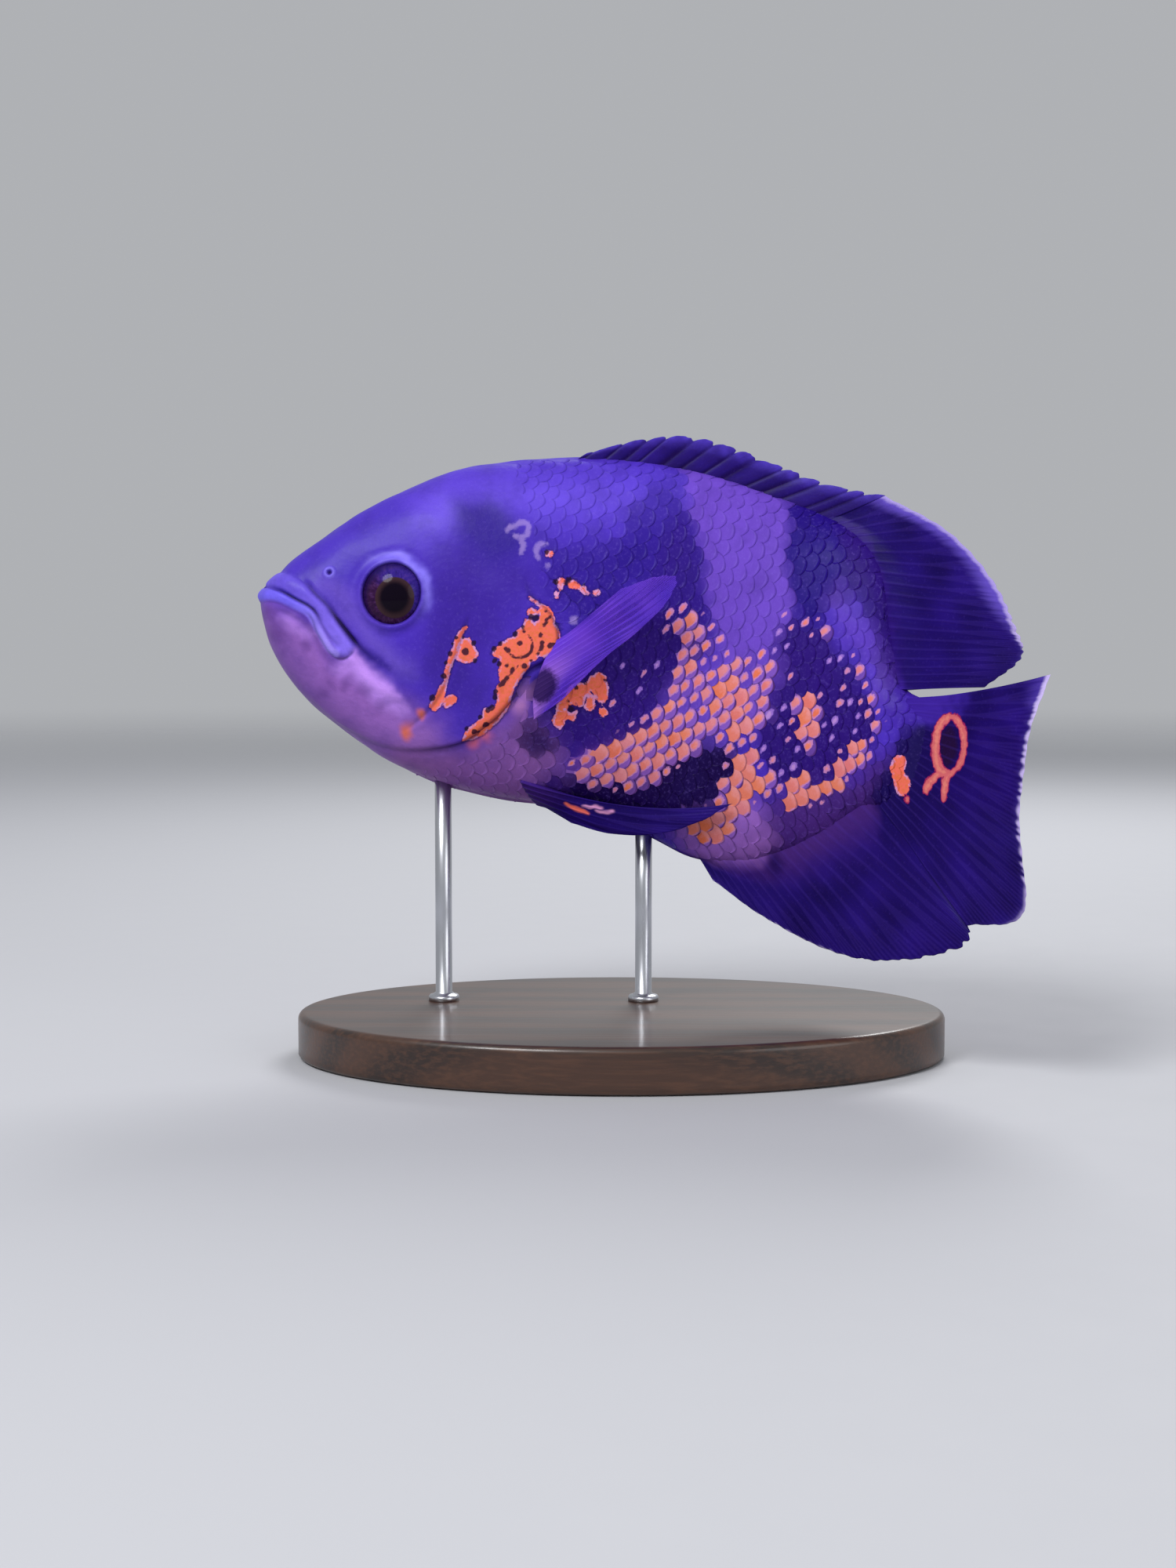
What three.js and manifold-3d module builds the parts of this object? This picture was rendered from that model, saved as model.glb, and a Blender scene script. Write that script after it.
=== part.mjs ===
// A life-size oscar fish that turns as it swims, held over a flat oval base by two rods.
// Millimetres, Z up. The origin is the centre of the base's underside, and the fish faces -X.
//
// The fish is drawn straight first, in its own frame: s runs back along the spine from the
// snout, y runs to the fish's right and z up. swim() then bends that frame into the pose.
import * as THREE from "three";
import { mergeVertices } from "three/addons/utils/BufferGeometryUtils.js";
import Module from "manifold-3d";

const wasm = await Module();
wasm.setup();
const { Manifold, Mesh } = wasm;
const degree = Math.PI / 180;

// Driving dimensions.
const gap = 0.3; // clear space between neighbours
const snout = [-107, 8.6, 135.3]; // where the snout's tip is
const headUp = 13.5 * degree; // the whole fish noses up
const headTurn = { by: -11.5 * degree, until: 82 }; // the head looks a little towards -Y
const tailTurn = { by: 50 * degree, from: 109, to: 202 }; // and the tail swings towards -Y
const eye = { s: 38, z: 9.2, radius: 9.3, depth: 5.6, sunk: 2.4, rim: 0.9 };
const nostril = { s: 18.5, z: 10.9, ring: 1.15, tube: 0.5, depth: 1.4 };
const gillCover = { thickness: 4.2, swell: 1.3, fade: 11 };
const lip = { upper: [2.1, 2.4], lower: [1.7, 1.9], proud: 0.8 }; // radii in front and behind
const slit = [1, 0.7]; // radii of the open slit between the lips, in front and behind
const membrane = 0.6; // thickness of a fin between its rays
const headEnd = 9.75; // the ring that closes the head's own skin, inside the trunk
const facets = { outer: { step: 0.375, around: 32 }, inner: { step: 0.75, around: 20 } };
const base = { length: 190, width: 122, height: 13, bevel: 2 };
const rod = { diameter: 5, front: 66, rear: 128 }; // the rods' places along the spine

// The lines of the body. Each row is one ring: the back line [s, z], the keel line [s, z],
// the widest line [s, z, half width], and how round the ring is above and below that line.
const rings = [
  [[0.7, -0.5], [0.7, -0.5], [0.7, -0.5, 0], 1, 1],
  [[1.6, 2.4], [1.5, -3.6], [1.6, -0.6, 4.6], 1, 1],
  [[3.7, 5.2], [3.6, -8.4], [3.8, -1.2, 8.2], 1, 0.95],
  [[7.4, 11.8], [7.2, -14.7], [7.6, -0.8, 10.6], 1, 0.9],
  [[14.9, 20.4], [13.6, -21.7], [14.4, 0.2, 12.6], 1, 0.9],
  [[24, 30.4], [22, -28], [23, 1.8, 14.4], 1, 0.9],
  [[35.5, 40], [33, -33.4], [34.2, 3.4, 16.8], 1, 0.9],
  [[49, 49.4], [46.5, -38.9], [47.8, 5, 19.2], 1.05, 0.9],
  [[66, 56], [63, -42.4], [64.5, 6, 21.2], 1.1, 0.9],
  [[85, 61.4], [83, -42.8], [84, 7.5, 22], 1.15, 0.9],
  [[104, 64.6], [103, -41], [103.5, 9, 21.4], 1.2, 0.95],
  [[124, 65.2], [124, -42.2], [124, 9, 19.4], 1.2, 1.05],
  [[143, 63.4], [143.5, -46], [143, 7, 16.4], 1.2, 1.2],
  [[158, 61.4], [160, -44.2], [159, 6, 13.2], 1.2, 1.2],
  [[171, 57], [173, -37.2], [172, 5, 10.4], 1.15, 1.15],
  [[181.5, 47.5], [183.5, -29.2], [182.5, 3.5, 8.2], 1.1, 1.1],
  [[189, 31.5], [193, -20], [191, 1, 6.4], 1, 1],
  [[197, 17.6], [200, -17.6], [198.5, 0, 4.9], 1, 1],
  [[206, 15], [206, -17.6], [206, -1, 3.2], 1, 1],
];

// Lines drawn on the side of the fish, as [s, z].
const gillEdge = [
  [73, 72], [75, 56], [76, 43], [75.4, 31], [76, 22], [79, 17.8], [85, 15], [88.6, 10.6],
  [89.8, 7], [88.4, 2], [83.6, -2.6], [82, -7], [80.6, -12.6], [77.8, -18], [74, -22.8],
  [69.4, -26.8], [64, -30.2], [56.6, -32.8], [50, -34.2], [44.5, -35.8], [40, -38.8], [36, -44],
];
const cheekEdge = [
  [79, 27.5], [74, 25.5], [66.5, 20], [62.4, 12], [61.7, 4], [61, -3.4], [60.3, -10], [59.4, -15.6],
  [57.4, -20.6], [53.6, -26], [49.6, -30.6], [46.4, -36], [45, -42],
];
const mouthLine = [
  [1.6, 2.1], [5.8, 2.4], [10, 1.6], [14.3, -0.3], [17, -2.1], [20.4, -5.2], [24.1, -8.2],
  [27.8, -10.3], [30.6, -11],
];
const jawHinge = [[33, -13], [35, -17.4], [35.4, -22], [33, -28], [29, -33.4], [26, -38]];
const lipLines = {
  slit: mouthLine.slice(0, -1),
  upper: [
    [4.4, 4.6], [9.2, 4.8], [13.4, 3.5], [17, 1.6], [20.5, -1.5], [24.1, -4.9], [27.6, -7.6],
    [30.6, -9.1],
  ],
  lower: [
    [2.1, 0], [6, 0.6], [10.2, -0.4], [13.4, -1.8], [15.9, -3.9], [19, -7], [22.1, -9.8],
    [25.3, -11.6], [28, -12.2],
  ],
};

// Spine pose.
const rise = (from, to, value) => Math.min(Math.max((value - from) / (to - from), 0), 1);
const smooth = (from, to, value) => {
  const t = rise(from, to, value);
  return t * t * (3 - 2 * t);
};

function heading(s) {
  return (
    headTurn.by * (1 - rise(0, headTurn.until, s)) ** 1.2 +
    tailTurn.by * rise(tailTurn.from, tailTurn.to, s) ** 1.2
  );
}

const spineStep = 0.5;
const spine = [[0, 0]]; // where the spine runs in plan, summed in short straight steps
for (let s = 0; s < 330; s += spineStep) {
  const [x, y] = spine.at(-1);
  const turn = heading(s + spineStep / 2);
  spine.push([x + spineStep * Math.cos(turn), y - spineStep * Math.sin(turn)]);
}

function spineAt(s) {
  const step = Math.max(s, 0) / spineStep;
  const i = Math.floor(step);
  const t = step - i + Math.min(s, 0) / spineStep;
  return [0, 1].map((k) => spine[i][k] + (spine[i + 1][k] - spine[i][k]) * t);
}

// A point of the straight fish, carried into the pose.
function swim({ x: s, y, z }) {
  const [alongX, alongY] = spineAt(s);
  const turn = heading(s);
  const x = alongX + y * Math.sin(turn);
  return new THREE.Vector3(
    snout[0] + x * Math.cos(headUp) + z * Math.sin(headUp),
    snout[1] + alongY + y * Math.cos(turn),
    snout[2] + z * Math.cos(headUp) - x * Math.sin(headUp),
  );
}

// Solids.
// A geometry as one closed solid, with the corners that meet joined.
function solid(geometry) {
  const bare = new THREE.BufferGeometry();
  const from = geometry.index ? geometry.toNonIndexed() : geometry;
  bare.setAttribute("position", from.getAttribute("position").clone());
  const merged = mergeVertices(bare, 1e-3);
  return new Manifold(
    new Mesh({
      numProp: 3,
      vertProperties: merged.attributes.position.array,
      triVerts: new Uint32Array(merged.index.array),
    }),
  );
}

function largest(made) {
  return made.decompose().reduce((a, b) => (b.volume() > a.volume() ? b : a));
}

// The piece of a cut solid that holds most of its volume near a point of the straight fish.
function pieceAt(made, point) {
  const near = solid(new THREE.SphereGeometry(4, 8, 6).translate(...swim(point)));
  const share = (piece) => piece.intersect(near).volume();
  return made.decompose().reduce((a, b) => (share(b) > share(a) ? b : a));
}

function geometryOf(made) {
  const { vertProperties, triVerts, numProp } = made.getMesh();
  const positions = new Float32Array((vertProperties.length / numProp) * 3);
  for (let i = 0; i < positions.length / 3; i++) {
    positions.set(vertProperties.subarray(i * numProp, i * numProp + 3), i * 3);
  }
  const geometry = new THREE.BufferGeometry();
  geometry.setAttribute("position", new THREE.BufferAttribute(positions, 3));
  geometry.setIndex(new THREE.BufferAttribute(triVerts, 1));
  geometry.computeVertexNormals();
  return geometry;
}

function fromTriangles(points, triangles) {
  const geometry = new THREE.BufferGeometry();
  geometry.setAttribute(
    "position",
    new THREE.Float32BufferAttribute(points.flatMap((p) => [p.x, p.y, p.z]), 3),
  );
  geometry.setIndex(triangles);
  const made = solid(geometry);
  if (made.volume() > 0) return made;
  for (let i = 0; i < triangles.length; i += 3) {
    [triangles[i + 1], triangles[i + 2]] = [triangles[i + 2], triangles[i + 1]];
  }
  geometry.setIndex(triangles);
  return solid(geometry);
}

// A closed skin over loops of points that all have the same count, with a fan at each end.
function skinOver(loops) {
  const around = loops[0].length;
  const points = loops.flat();
  const triangles = [];
  for (let i = 0; i + 1 < loops.length; i++) {
    for (let j = 0; j < around; j++) {
      const k = (j + 1) % around;
      const [a, b] = [i * around + j, i * around + k];
      triangles.push(a, a + around, b, b, a + around, b + around);
    }
  }
  const ends = [
    [loops[0], 0, false],
    [loops.at(-1), points.length - around, true],
  ];
  for (const [loop, from, turned] of ends) {
    const centre = loop.reduce((sum, p) => sum.add(p), new THREE.Vector3()).divideScalar(around);
    const tip = points.push(centre) - 1;
    for (let j = 0; j < around; j++) {
      const pair = [from + j, from + ((j + 1) % around)];
      triangles.push(tip, ...(turned ? pair.reverse() : pair));
    }
  }
  return fromTriangles(points, triangles);
}

// Body surface.
const track = (points) => new THREE.CatmullRomCurve3(points, false, "catmullrom", 0.5);
const flat = (points) => track(points.map(([s, z]) => new THREE.Vector3(s, 0, z)));
const backLine = flat(rings.map(([back]) => back));
const keelLine = flat(rings.map(([, keel]) => keel));
const wideLine = track(rings.map(([, , [s, z, width]]) => new THREE.Vector3(s, width, z)));
const fullness = track(rings.map((row) => new THREE.Vector3(row[3], row[4], 0)));
const lastRing = rings.length - 1;

// The body's skin: ring counts rows of the table, and lean goes from -90 degrees at the keel,
// over 0 at the widest line of the left side, to 90 at the back.
function bodyPoint(ring, lean, side = -1) {
  const t = Math.min(Math.max(ring / lastRing, 0), 1);
  const wide = wideLine.getPoint(t);
  const edge = (lean > 0 ? backLine : keelLine).getPoint(t);
  const round = fullness.getPoint(t);
  const up = Math.abs(Math.sin(lean));
  const out = Math.max(Math.cos(lean), 0) ** (lean > 0 ? round.x : round.y);
  return new THREE.Vector3(
    wide.x + (edge.x - wide.x) * up,
    side * Math.max(wide.y, 0) * out,
    wide.z + (edge.z - wide.z) * up,
  );
}

function outward(ring, lean, side) {
  const step = 0.02;
  const low = Math.max(ring - step, 0.01);
  const along = bodyPoint(low + 2 * step, lean, side).sub(bodyPoint(low, lean, side));
  const over = bodyPoint(ring, Math.min(lean + step, 1.55), side).sub(
    bodyPoint(ring, Math.max(lean - step, -1.55), side),
  );
  return over.cross(along).multiplyScalar(side).normalize();
}

// The ring and lean where the body's skin passes through a point [s, z] seen from the side.
function skinPlace([s, z]) {
  let [ring, lean] = [lastRing * rise(0, 206, s), 0];
  for (let round = 0; round < 40; round++) {
    const here = bodyPoint(ring, lean);
    const [ds, dz] = [s - here.x, z - here.z];
    const reach = Math.abs(bodyPoint(ring, z > here.z ? 1.57 : -1.57).z - bodyPoint(ring, 0).z);
    ring = Math.min(Math.max(ring + ds / 12, 0.05), lastRing);
    lean = Math.min(Math.max(lean + (0.6 * dz) / Math.max(reach, 2), -1.5), 1.5);
  }
  return [ring, lean];
}

// A point over the skin, lifted out of it, on the left (-1) or right (1) side.
function onSkin(place, lift = 0, side = -1) {
  const [ring, lean] = skinPlace(place);
  return bodyPoint(ring, lean, side).addScaledVector(outward(ring, lean, side), lift);
}

function distanceTo(line, s, z) {
  return Math.min(...line.map(([a, b]) => Math.hypot(a - s, b - z)));
}

// The body as one solid, from one ring to another, with its skin lifted or sunk.
function flesh(fromRing, toRing, lift, { step, around } = facets.outer) {
  const loops = [];
  for (let ring = fromRing; ring <= toRing; ring += step) {
    const loop = [];
    for (let j = 0; j < around; j++) {
      const angle = (360 * degree * j) / around;
      const side = Math.sin(angle) > 0 ? 1 : -1;
      const lean = Math.asin(Math.cos(angle));
      const point = bodyPoint(ring, lean, side);
      const out = outward(Math.max(ring, 0.1), lean, side);
      if (Math.abs(Math.sin(angle)) < 1e-6) out.set(0, 0, Math.cos(angle) > 0 ? 1 : -1);
      loop.push(swim(point.addScaledVector(out, lift(point))));
    }
    loops.push(loop);
  }
  return skinOver(loops);
}

// A thin slab through the fish that follows a line drawn on its side.
function cutAlong(line, halfWidth = 32, thickness = gap) {
  const curve = flat(line);
  const points = curve.getSpacedPoints(Math.round(curve.getLength() / 5));
  const across = 6;
  const rims = points.map((p, i) => {
    const before = points[Math.max(i - 1, 0)];
    const after = points[Math.min(i + 1, points.length - 1)];
    const along = new THREE.Vector3().subVectors(after, before).normalize();
    return new THREE.Vector3(-along.z, 0, along.x).multiplyScalar(thickness / 2);
  });
  const loops = points.map((p, i) => {
    const edge = (turn) =>
      Array.from({ length: across + 1 }, (_, k) => {
        const y = halfWidth * ((2 * k) / across - 1);
        return swim(new THREE.Vector3(p.x + turn * rims[i].x, turn * y, p.z + turn * rims[i].z));
      });
    return [...edge(1), ...edge(-1)];
  });
  return skinOver(loops);
}

const whole = (lift) => flesh(0, lastRing, () => lift);

// The gill covers stand a little proud of the body along their rear edge.
const gillLine = flat(gillEdge.slice(4)).getPoints(60).map((p) => [p.x, p.z]);
const cover = (point) => {
  const near = Math.exp(-((distanceTo(gillLine, point.x, point.z) / gillCover.fade) ** 2));
  return gillCover.swell * near * (1 - smooth(12, 24, point.z));
};

// Head, jaw and gill covers.
const eyePlace = [eye.s, eye.z];
const eyeBall = (side, grow = 0) => {
  const ball = new THREE.SphereGeometry(1, 16, 8).rotateX(90 * degree);
  ball.scale(eye.radius + grow, eye.radius + grow, eye.depth + grow);
  return setOnSkin(ball, eyePlace, -eye.sunk, side);
};
const orbitRim = (side) => {
  const rim = new THREE.TorusGeometry(eye.radius + 0.2, eye.rim, 5, 16);
  return setOnSkin(rim, eyePlace, -0.1, side);
};

// A shape drawn on the straight fish, carried into the pose point by point.
function moved(geometry) {
  const place = geometry.getAttribute("position");
  const point = new THREE.Vector3();
  for (let i = 0; i < place.count; i++) {
    place.setXYZ(i, ...swim(point.fromBufferAttribute(place, i)));
  }
  return solid(geometry);
}

// A lip: a roll that runs from one corner of the mouth, round the front, to the other.
function roll(name, grow = 0) {
  const [front, back] = name === "slit" ? slit : lip[name];
  const line = flat(lipLines[name]);
  const steps = 10;
  const half = [];
  for (let i = 0; i <= steps; i++) {
    const t = (i / steps) ** 1.5;
    const size = front + (back - front) * t;
    const place = line.getPoint(t);
    const centre = i === 0 ? place : onSkin([place.x, place.z], lip.proud - size);
    half.push(new THREE.Vector4(...centre, size * (1 - 0.35 * smooth(0.8, 1, t))));
  }
  const far = half.slice(1).reverse().map((p) => new THREE.Vector4(p.x, -p.y, p.z, p.w));
  const path = [...far, ...half];
  const curve = track(path.map((p) => new THREE.Vector3(p.x, p.y, p.z)));
  const loops = [];
  const count = 24;
  for (let i = 0; i <= count; i++) {
    const t = i / count;
    const along = curve.getTangent(t);
    const across = new THREE.Vector3(0, 0, 1).addScaledVector(along, -along.z).normalize();
    const out = new THREE.Vector3().crossVectors(across, along);
    const at = t * (path.length - 1);
    const [a, b] = [path[Math.floor(at)], path[Math.min(Math.floor(at) + 1, path.length - 1)]];
    const end = Math.max(1 - Math.abs(2 * t - 1) ** 12, 0.25);
    const size = (a.w + (b.w - a.w) * (at % 1)) * Math.sqrt(end) + grow;
    const centre = curve.getPoint(t).addScaledVector(along, grow * Math.trunc(2.0001 * t - 1));
    loops.push(
      Array.from({ length: 8 }, (_, j) => {
        const turn = 45 * degree * j;
        const [up, side] = [1.08 * size * Math.cos(turn), 0.92 * size * Math.sin(turn)];
        return swim(centre.clone().addScaledVector(across, up).addScaledVector(out, side));
      }),
    );
  }
  return skinOver(loops);
}

// Puts a shape that faces +Z on the skin at [s, z], facing out of the fish, and into the pose.
function setOnSkin(shape, place, lift, side) {
  const [ring, lean] = skinPlace(place);
  const out = outward(ring, lean, side);
  const turn = new THREE.Quaternion().setFromUnitVectors(new THREE.Vector3(0, 0, 1), out);
  const spot = bodyPoint(ring, lean, side).addScaledVector(out, lift);
  return moved(shape.applyQuaternion(turn).translate(...spot));
}

// A nostril is a small raised ring, with a pit that is cut through its middle.
const nostrilPlace = [nostril.s, nostril.z];
const nostrilRim = (side) => {
  const rim = new THREE.TorusGeometry(nostril.ring, nostril.tube, 5, 10);
  return setOnSkin(rim, nostrilPlace, 0.1, side);
};
const nostrilPit = (side) => {
  const pit = new THREE.CylinderGeometry(0.75, 0.6, 2 * nostril.depth, 10).rotateX(90 * degree);
  return setOnSkin(pit, nostrilPlace, 0, side);
};

function makeHead() {
  const sides = [-1, 1];
  const core = (lift) => flesh(0, headEnd, () => lift, facets.inner);
  let head = flesh(0, headEnd, cover).subtract(cutAlong(gillEdge));
  head = pieceAt(head, new THREE.Vector3(40, 0, 0));
  for (const side of sides) head = head.add(nostrilRim(side)).add(orbitRim(side));
  for (const side of sides) head = head.subtract(nostrilPit(side)).subtract(eyeBall(side, gap));
  for (const name of ["slit", "upper", "lower"]) head = head.subtract(roll(name, gap));
  const opened = head.subtract(cutAlong([[-8, 2.2], ...mouthLine, ...jawHinge]));
  const skull = pieceAt(opened, new THREE.Vector3(45, 0, 5));

  // The gill covers are plates behind the cheeks, with the inner head under them.
  const cheekCut = cutAlong(cheekEdge);
  const behind = pieceAt(skull.subtract(cheekCut), new THREE.Vector3(72, 0, 0));
  const plates = behind.subtract(core(gap - gillCover.thickness));
  const inner = skull.intersect(core(-gillCover.thickness));
  const cheeks = pieceAt(skull.subtract(cheekCut), new THREE.Vector3(45, 0, 5));
  return {
    head: cheeks.add(inner),
    lower_jaw: pieceAt(opened, new THREE.Vector3(18, 0, -14)),
    upper_lip: roll("upper"),
    lower_lip: roll("lower"),
    gill_cover_left: pieceAt(plates, new THREE.Vector3(72, -20, 0)),
    gill_cover_right: pieceAt(plates, new THREE.Vector3(72, 20, 0)),
  };
}

// Trunk and tail stalk.
const stalkCut = [[176, 75], [184, 40], [189, 16], [190, 0], [189, -14], [184, -50]];

function makeTrunk() {
  const trunk = flesh(1.5, lastRing, () => 0);
  const behindHead = pieceAt(trunk.subtract(cutAlong(gillEdge)), new THREE.Vector3(110, 0, 10));
  const parted = behindHead.subtract(cutAlong(stalkCut));
  return {
    torso: pieceAt(parted, new THREE.Vector3(110, 0, 10)),
    tail_stalk: pieceAt(parted, new THREE.Vector3(200, 0, 0)),
  };
}

// Fins. A fin is a sheet from its root line to its tip line, with a ridge on each ray. Both
// lines are [s, z, y], point for point, and a median fin curls sideways towards its tip.
const finDefaults = { perRay: 2, curl: 2, scallop: 0, fleshy: 0, bow: 0 };

function fin(settings) {
  const { root, tip, rays, rows, ray, perRay, curl, scallop, fleshy, bow } = {
    ...finDefaults,
    ...settings,
  };
  const along = ([s, z, y = 0]) => new THREE.Vector3(s, y, z);
  const rootLine = track(root.map(along));
  const tipLine = track(tip.map(along));
  const columns = (rays - 1) * perRay;
  const middle = (u, v) => {
    const between = 1 - Math.abs(2 * ((u * (rays - 1)) % 1) - 1);
    const reach = v * (1 - scallop * between * v);
    const start = rootLine.getPoint(u);
    const end = tipLine.getPoint(u);
    const point = start.clone().lerp(end, reach);
    point.y = start.y + (end.y - start.y) * reach ** curl;
    point.z += bow * (1 - u) * 4 * reach * (1 - reach);
    return point;
  };
  const clamp = (value) => Math.min(Math.max(value, 0), 1);
  const sheets = [[], []];
  for (let i = 0; i <= columns; i++) {
    for (let j = 0; j <= rows; j++) {
      const [u, v] = [i / columns, j / rows];
      const slope = (du, dv) => {
        const ahead = swim(middle(clamp(u + du), clamp(v + dv)));
        return ahead.sub(swim(middle(clamp(u - du), clamp(v - dv))));
      };
      const out = slope(0.01, 0).cross(slope(0, 0.02)).normalize();
      const ridge = i % perRay === 0 ? ray * (1 - 0.75 * v) : 0;
      const half = (membrane / 2) * (1 - 0.3 * v) + ridge + fleshy * (1 - smooth(0, 0.3, v));
      const place = swim(middle(u, v));
      sheets[0].push(place.clone().addScaledVector(out, half));
      sheets[1].push(place.clone().addScaledVector(out, -half));
    }
  }
  return twoFaced(sheets, columns, rows);
}

// Joins two sheets of points into one closed solid. Both are split into the same triangles.
function twoFaced([front, back], columns, rows) {
  const at = (i, j) => i * (rows + 1) + j;
  const offset = front.length;
  const triangles = [];
  for (let i = 0; i < columns; i++) {
    for (let j = 0; j < rows; j++) {
      const [a, b, c, d] = [at(i, j), at(i, j + 1), at(i + 1, j), at(i + 1, j + 1)];
      triangles.push(a, b, c, c, b, d);
      triangles.push(a + offset, c + offset, b + offset, c + offset, d + offset, b + offset);
    }
  }
  const rim = [];
  for (let i = 0; i < columns; i++) rim.push([at(i, 0), at(i + 1, 0)]);
  for (let j = 0; j < rows; j++) rim.push([at(columns, j), at(columns, j + 1)]);
  for (let i = columns; i > 0; i--) rim.push([at(i, rows), at(i - 1, rows)]);
  for (let j = rows; j > 0; j--) rim.push([at(0, j), at(0, j - 1)]);
  for (const [a, b] of rim) triangles.push(a, b, a + offset, b, b + offset, a + offset);
  return fromTriangles([...front, ...back], triangles);
}

const spinyDorsal = {
  root: [[80, 58.2], [92, 60.6], [104, 62.4], [118, 63.2], [132, 63], [145, 61.4], [157.5, 59.4]],
  tip: [[85, 63.2], [99.5, 70.8], [114, 75.2], [129, 74.6], [144.5, 72.2], [159, 70.2], [174, 70.4]],
  rays: 13,
  rows: 3,
  perRay: 3,
  scallop: 0.16,
  ray: 0.45,
};
const softDorsal = {
  root: [[158.2, 59.3], [170, 55.4], [179.6, 46.4], [186, 35], [191, 24], [196.4, 16.4]],
  tip: [
    [174.9, 70.2], [200.5, 62.6, 0.6], [221, 49.4, 1.6], [230.4, 39.4, 2.3], [233.6, 31.6, 2.5],
    [224, 22.4, 2.2],
  ],
  rays: 16,
  rows: 5,
  ray: 0.4,
};
const analFin = {
  root: [[143.6, -43.6], [152, -44.2], [162, -41.8], [173, -35.4], [184, -27], [198, -14.6]],
  tip: [
    [152, -51.6], [170, -58, 1], [191, -61.6, 2], [214, -58.9, 3], [238.4, -47.6, 4], [233, -40.8, 4],
  ],
  rays: 16,
  rows: 5,
  ray: 0.4,
};
const caudalFin = {
  root: [[201, 14.6], [200.4, 9], [200, 3], [200, -3], [200, -10], [201, -16.8]],
  tip: [
    [249, 28.4, -3], [250, 12, -6.2], [252, -4, -6.3], [255.6, -20.7, -3], [256.5, -35.6, 0.6],
    [239, -42, 1.5],
  ],
  rays: 15,
  rows: 5,
  ray: 0.42,
  fleshy: 1.4,
  bow: -2.4,
};
const pectoralFin = (side) => ({
  root: [
    [89.4, 6, 21.5 * side], [88.2, 2, 21.5 * side], [87.2, -2, 21.3 * side], [86.8, -6, 21 * side],
    [86.8, -9.6, 20.6 * side], [87.6, -13, 20.1 * side], [88.8, -16.2, 19.5 * side],
  ],
  tip: [
    [104, 26, 27 * side], [113, 31.4, 29.5 * side], [121, 32.6, 30.5 * side], [119.4, 25, 30.5 * side],
    [113, 16.6, 30 * side], [104.6, 6.4, 28 * side], [95, -9, 24.5 * side],
  ],
  rays: 11,
  rows: 5,
  ray: 0.35,
  fleshy: 1.4,
  curl: 1,
});
const pelvicFin = (side) => ({
  root: [
    [88.6, -35.2, 11.4 * side], [90, -36.8, 10.2 * side], [91.6, -38.2, 8.8 * side],
    [93.2, -39.6, 7.2 * side], [95, -40.8, 5.6 * side],
  ],
  tip: [
    [156, -27, 12.6 * side], [147, -34.4, 12.4 * side], [134, -41.2, 11.2 * side],
    [119, -44.8, 9 * side], [106, -44.6, 7.2 * side],
  ],
  rays: 6,
  rows: 6,
  perRay: 3,
  ray: 0.5,
  fleshy: 0.8,
  curl: 1,
  bow: -4.2,
});

function makeFins() {
  const keepOff = whole(gap).add(flesh(0, headEnd, (point) => cover(point) + gap));
  const rooted = (shape) => largest(fin(shape).subtract(keepOff));
  const made = {
    dorsal_fin_spines: rooted(spinyDorsal),
    dorsal_fin_rays: rooted(softDorsal),
    anal_fin: rooted(analFin),
    tail_fin: rooted(caudalFin),
  };
  for (const [name, side] of [["left", -1], ["right", 1]]) {
    made["pectoral_fin_" + name] = rooted(pectoralFin(side));
    made["pelvic_fin_" + name] = rooted(pelvicFin(side));
  }
  return made;
}

// Stand.
function makeStand() {
  const outline = new THREE.Shape().absellipse(
    0, 0, base.length / 2 - base.bevel, base.width / 2 - base.bevel, 0, 360 * degree,
  );
  const plate = new THREE.ExtrudeGeometry(outline, {
    depth: base.height - 2 * base.bevel,
    bevelThickness: base.bevel,
    bevelSize: base.bevel,
    bevelSegments: 1,
    curveSegments: 20,
  }).translate(0, 0, base.bevel);
  const belly = whole(gap);
  const stand = { stand_base: solid(plate) };
  for (const end of ["front", "rear"]) {
    const [ring] = skinPlace([rod[end], -40]);
    const top = swim(bodyPoint(ring, -1.57));
    const height = top.z + 3 - base.height - gap;
    const bar = new THREE.CylinderGeometry(rod.diameter / 2, rod.diameter / 2, height, 20)
      .rotateX(90 * degree)
      .translate(top.x, top.y, base.height + gap + height / 2);
    stand["stand_rod_" + end] = largest(solid(bar).subtract(belly));
  }
  return stand;
}

// Finishes.
const finish = (color, roughness, metalness = 0) =>
  new THREE.MeshStandardMaterial({ color, roughness, metalness });
const finishes = {
  skin: finish("#4a3393", 0.5),
  chin: finish("#8a63b8", 0.5),
  lip: finish("#7a66d0", 0.45),
  fin: finish("#2a1560", 0.55),
  clearFin: finish("#5b36c4", 0.45),
  eye: finish("#1c0a30", 0.1),
  wood: finish("#2c1c15", 0.4),
  steel: finish("#b9bcc2", 0.25, 1),
};
const finishOf = (name) => {
  if (name.startsWith("eye")) return finishes.eye;
  if (name.endsWith("lip")) return finishes.lip;
  if (name === "lower_jaw") return finishes.chin;
  if (name.startsWith("pectoral")) return finishes.clearFin;
  if (name.includes("fin")) return finishes.fin;
  if (name === "stand_base") return finishes.wood;
  if (name.startsWith("stand")) return finishes.steel;
  return finishes.skin;
};

const oscar = new THREE.Group();
oscar.name = "oscar_fish";
const nodes = {
  ...makeHead(),
  eye_left: eyeBall(-1),
  eye_right: eyeBall(1),
  ...makeTrunk(),
  ...makeFins(),
  ...makeStand(),
};
for (const [name, made] of Object.entries(nodes)) {
  const settled = largest(solid(geometryOf(largest(made))));
  const node = new THREE.Mesh(geometryOf(settled), finishOf(name));
  node.name = name;
  oscar.add(node);
}

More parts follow.
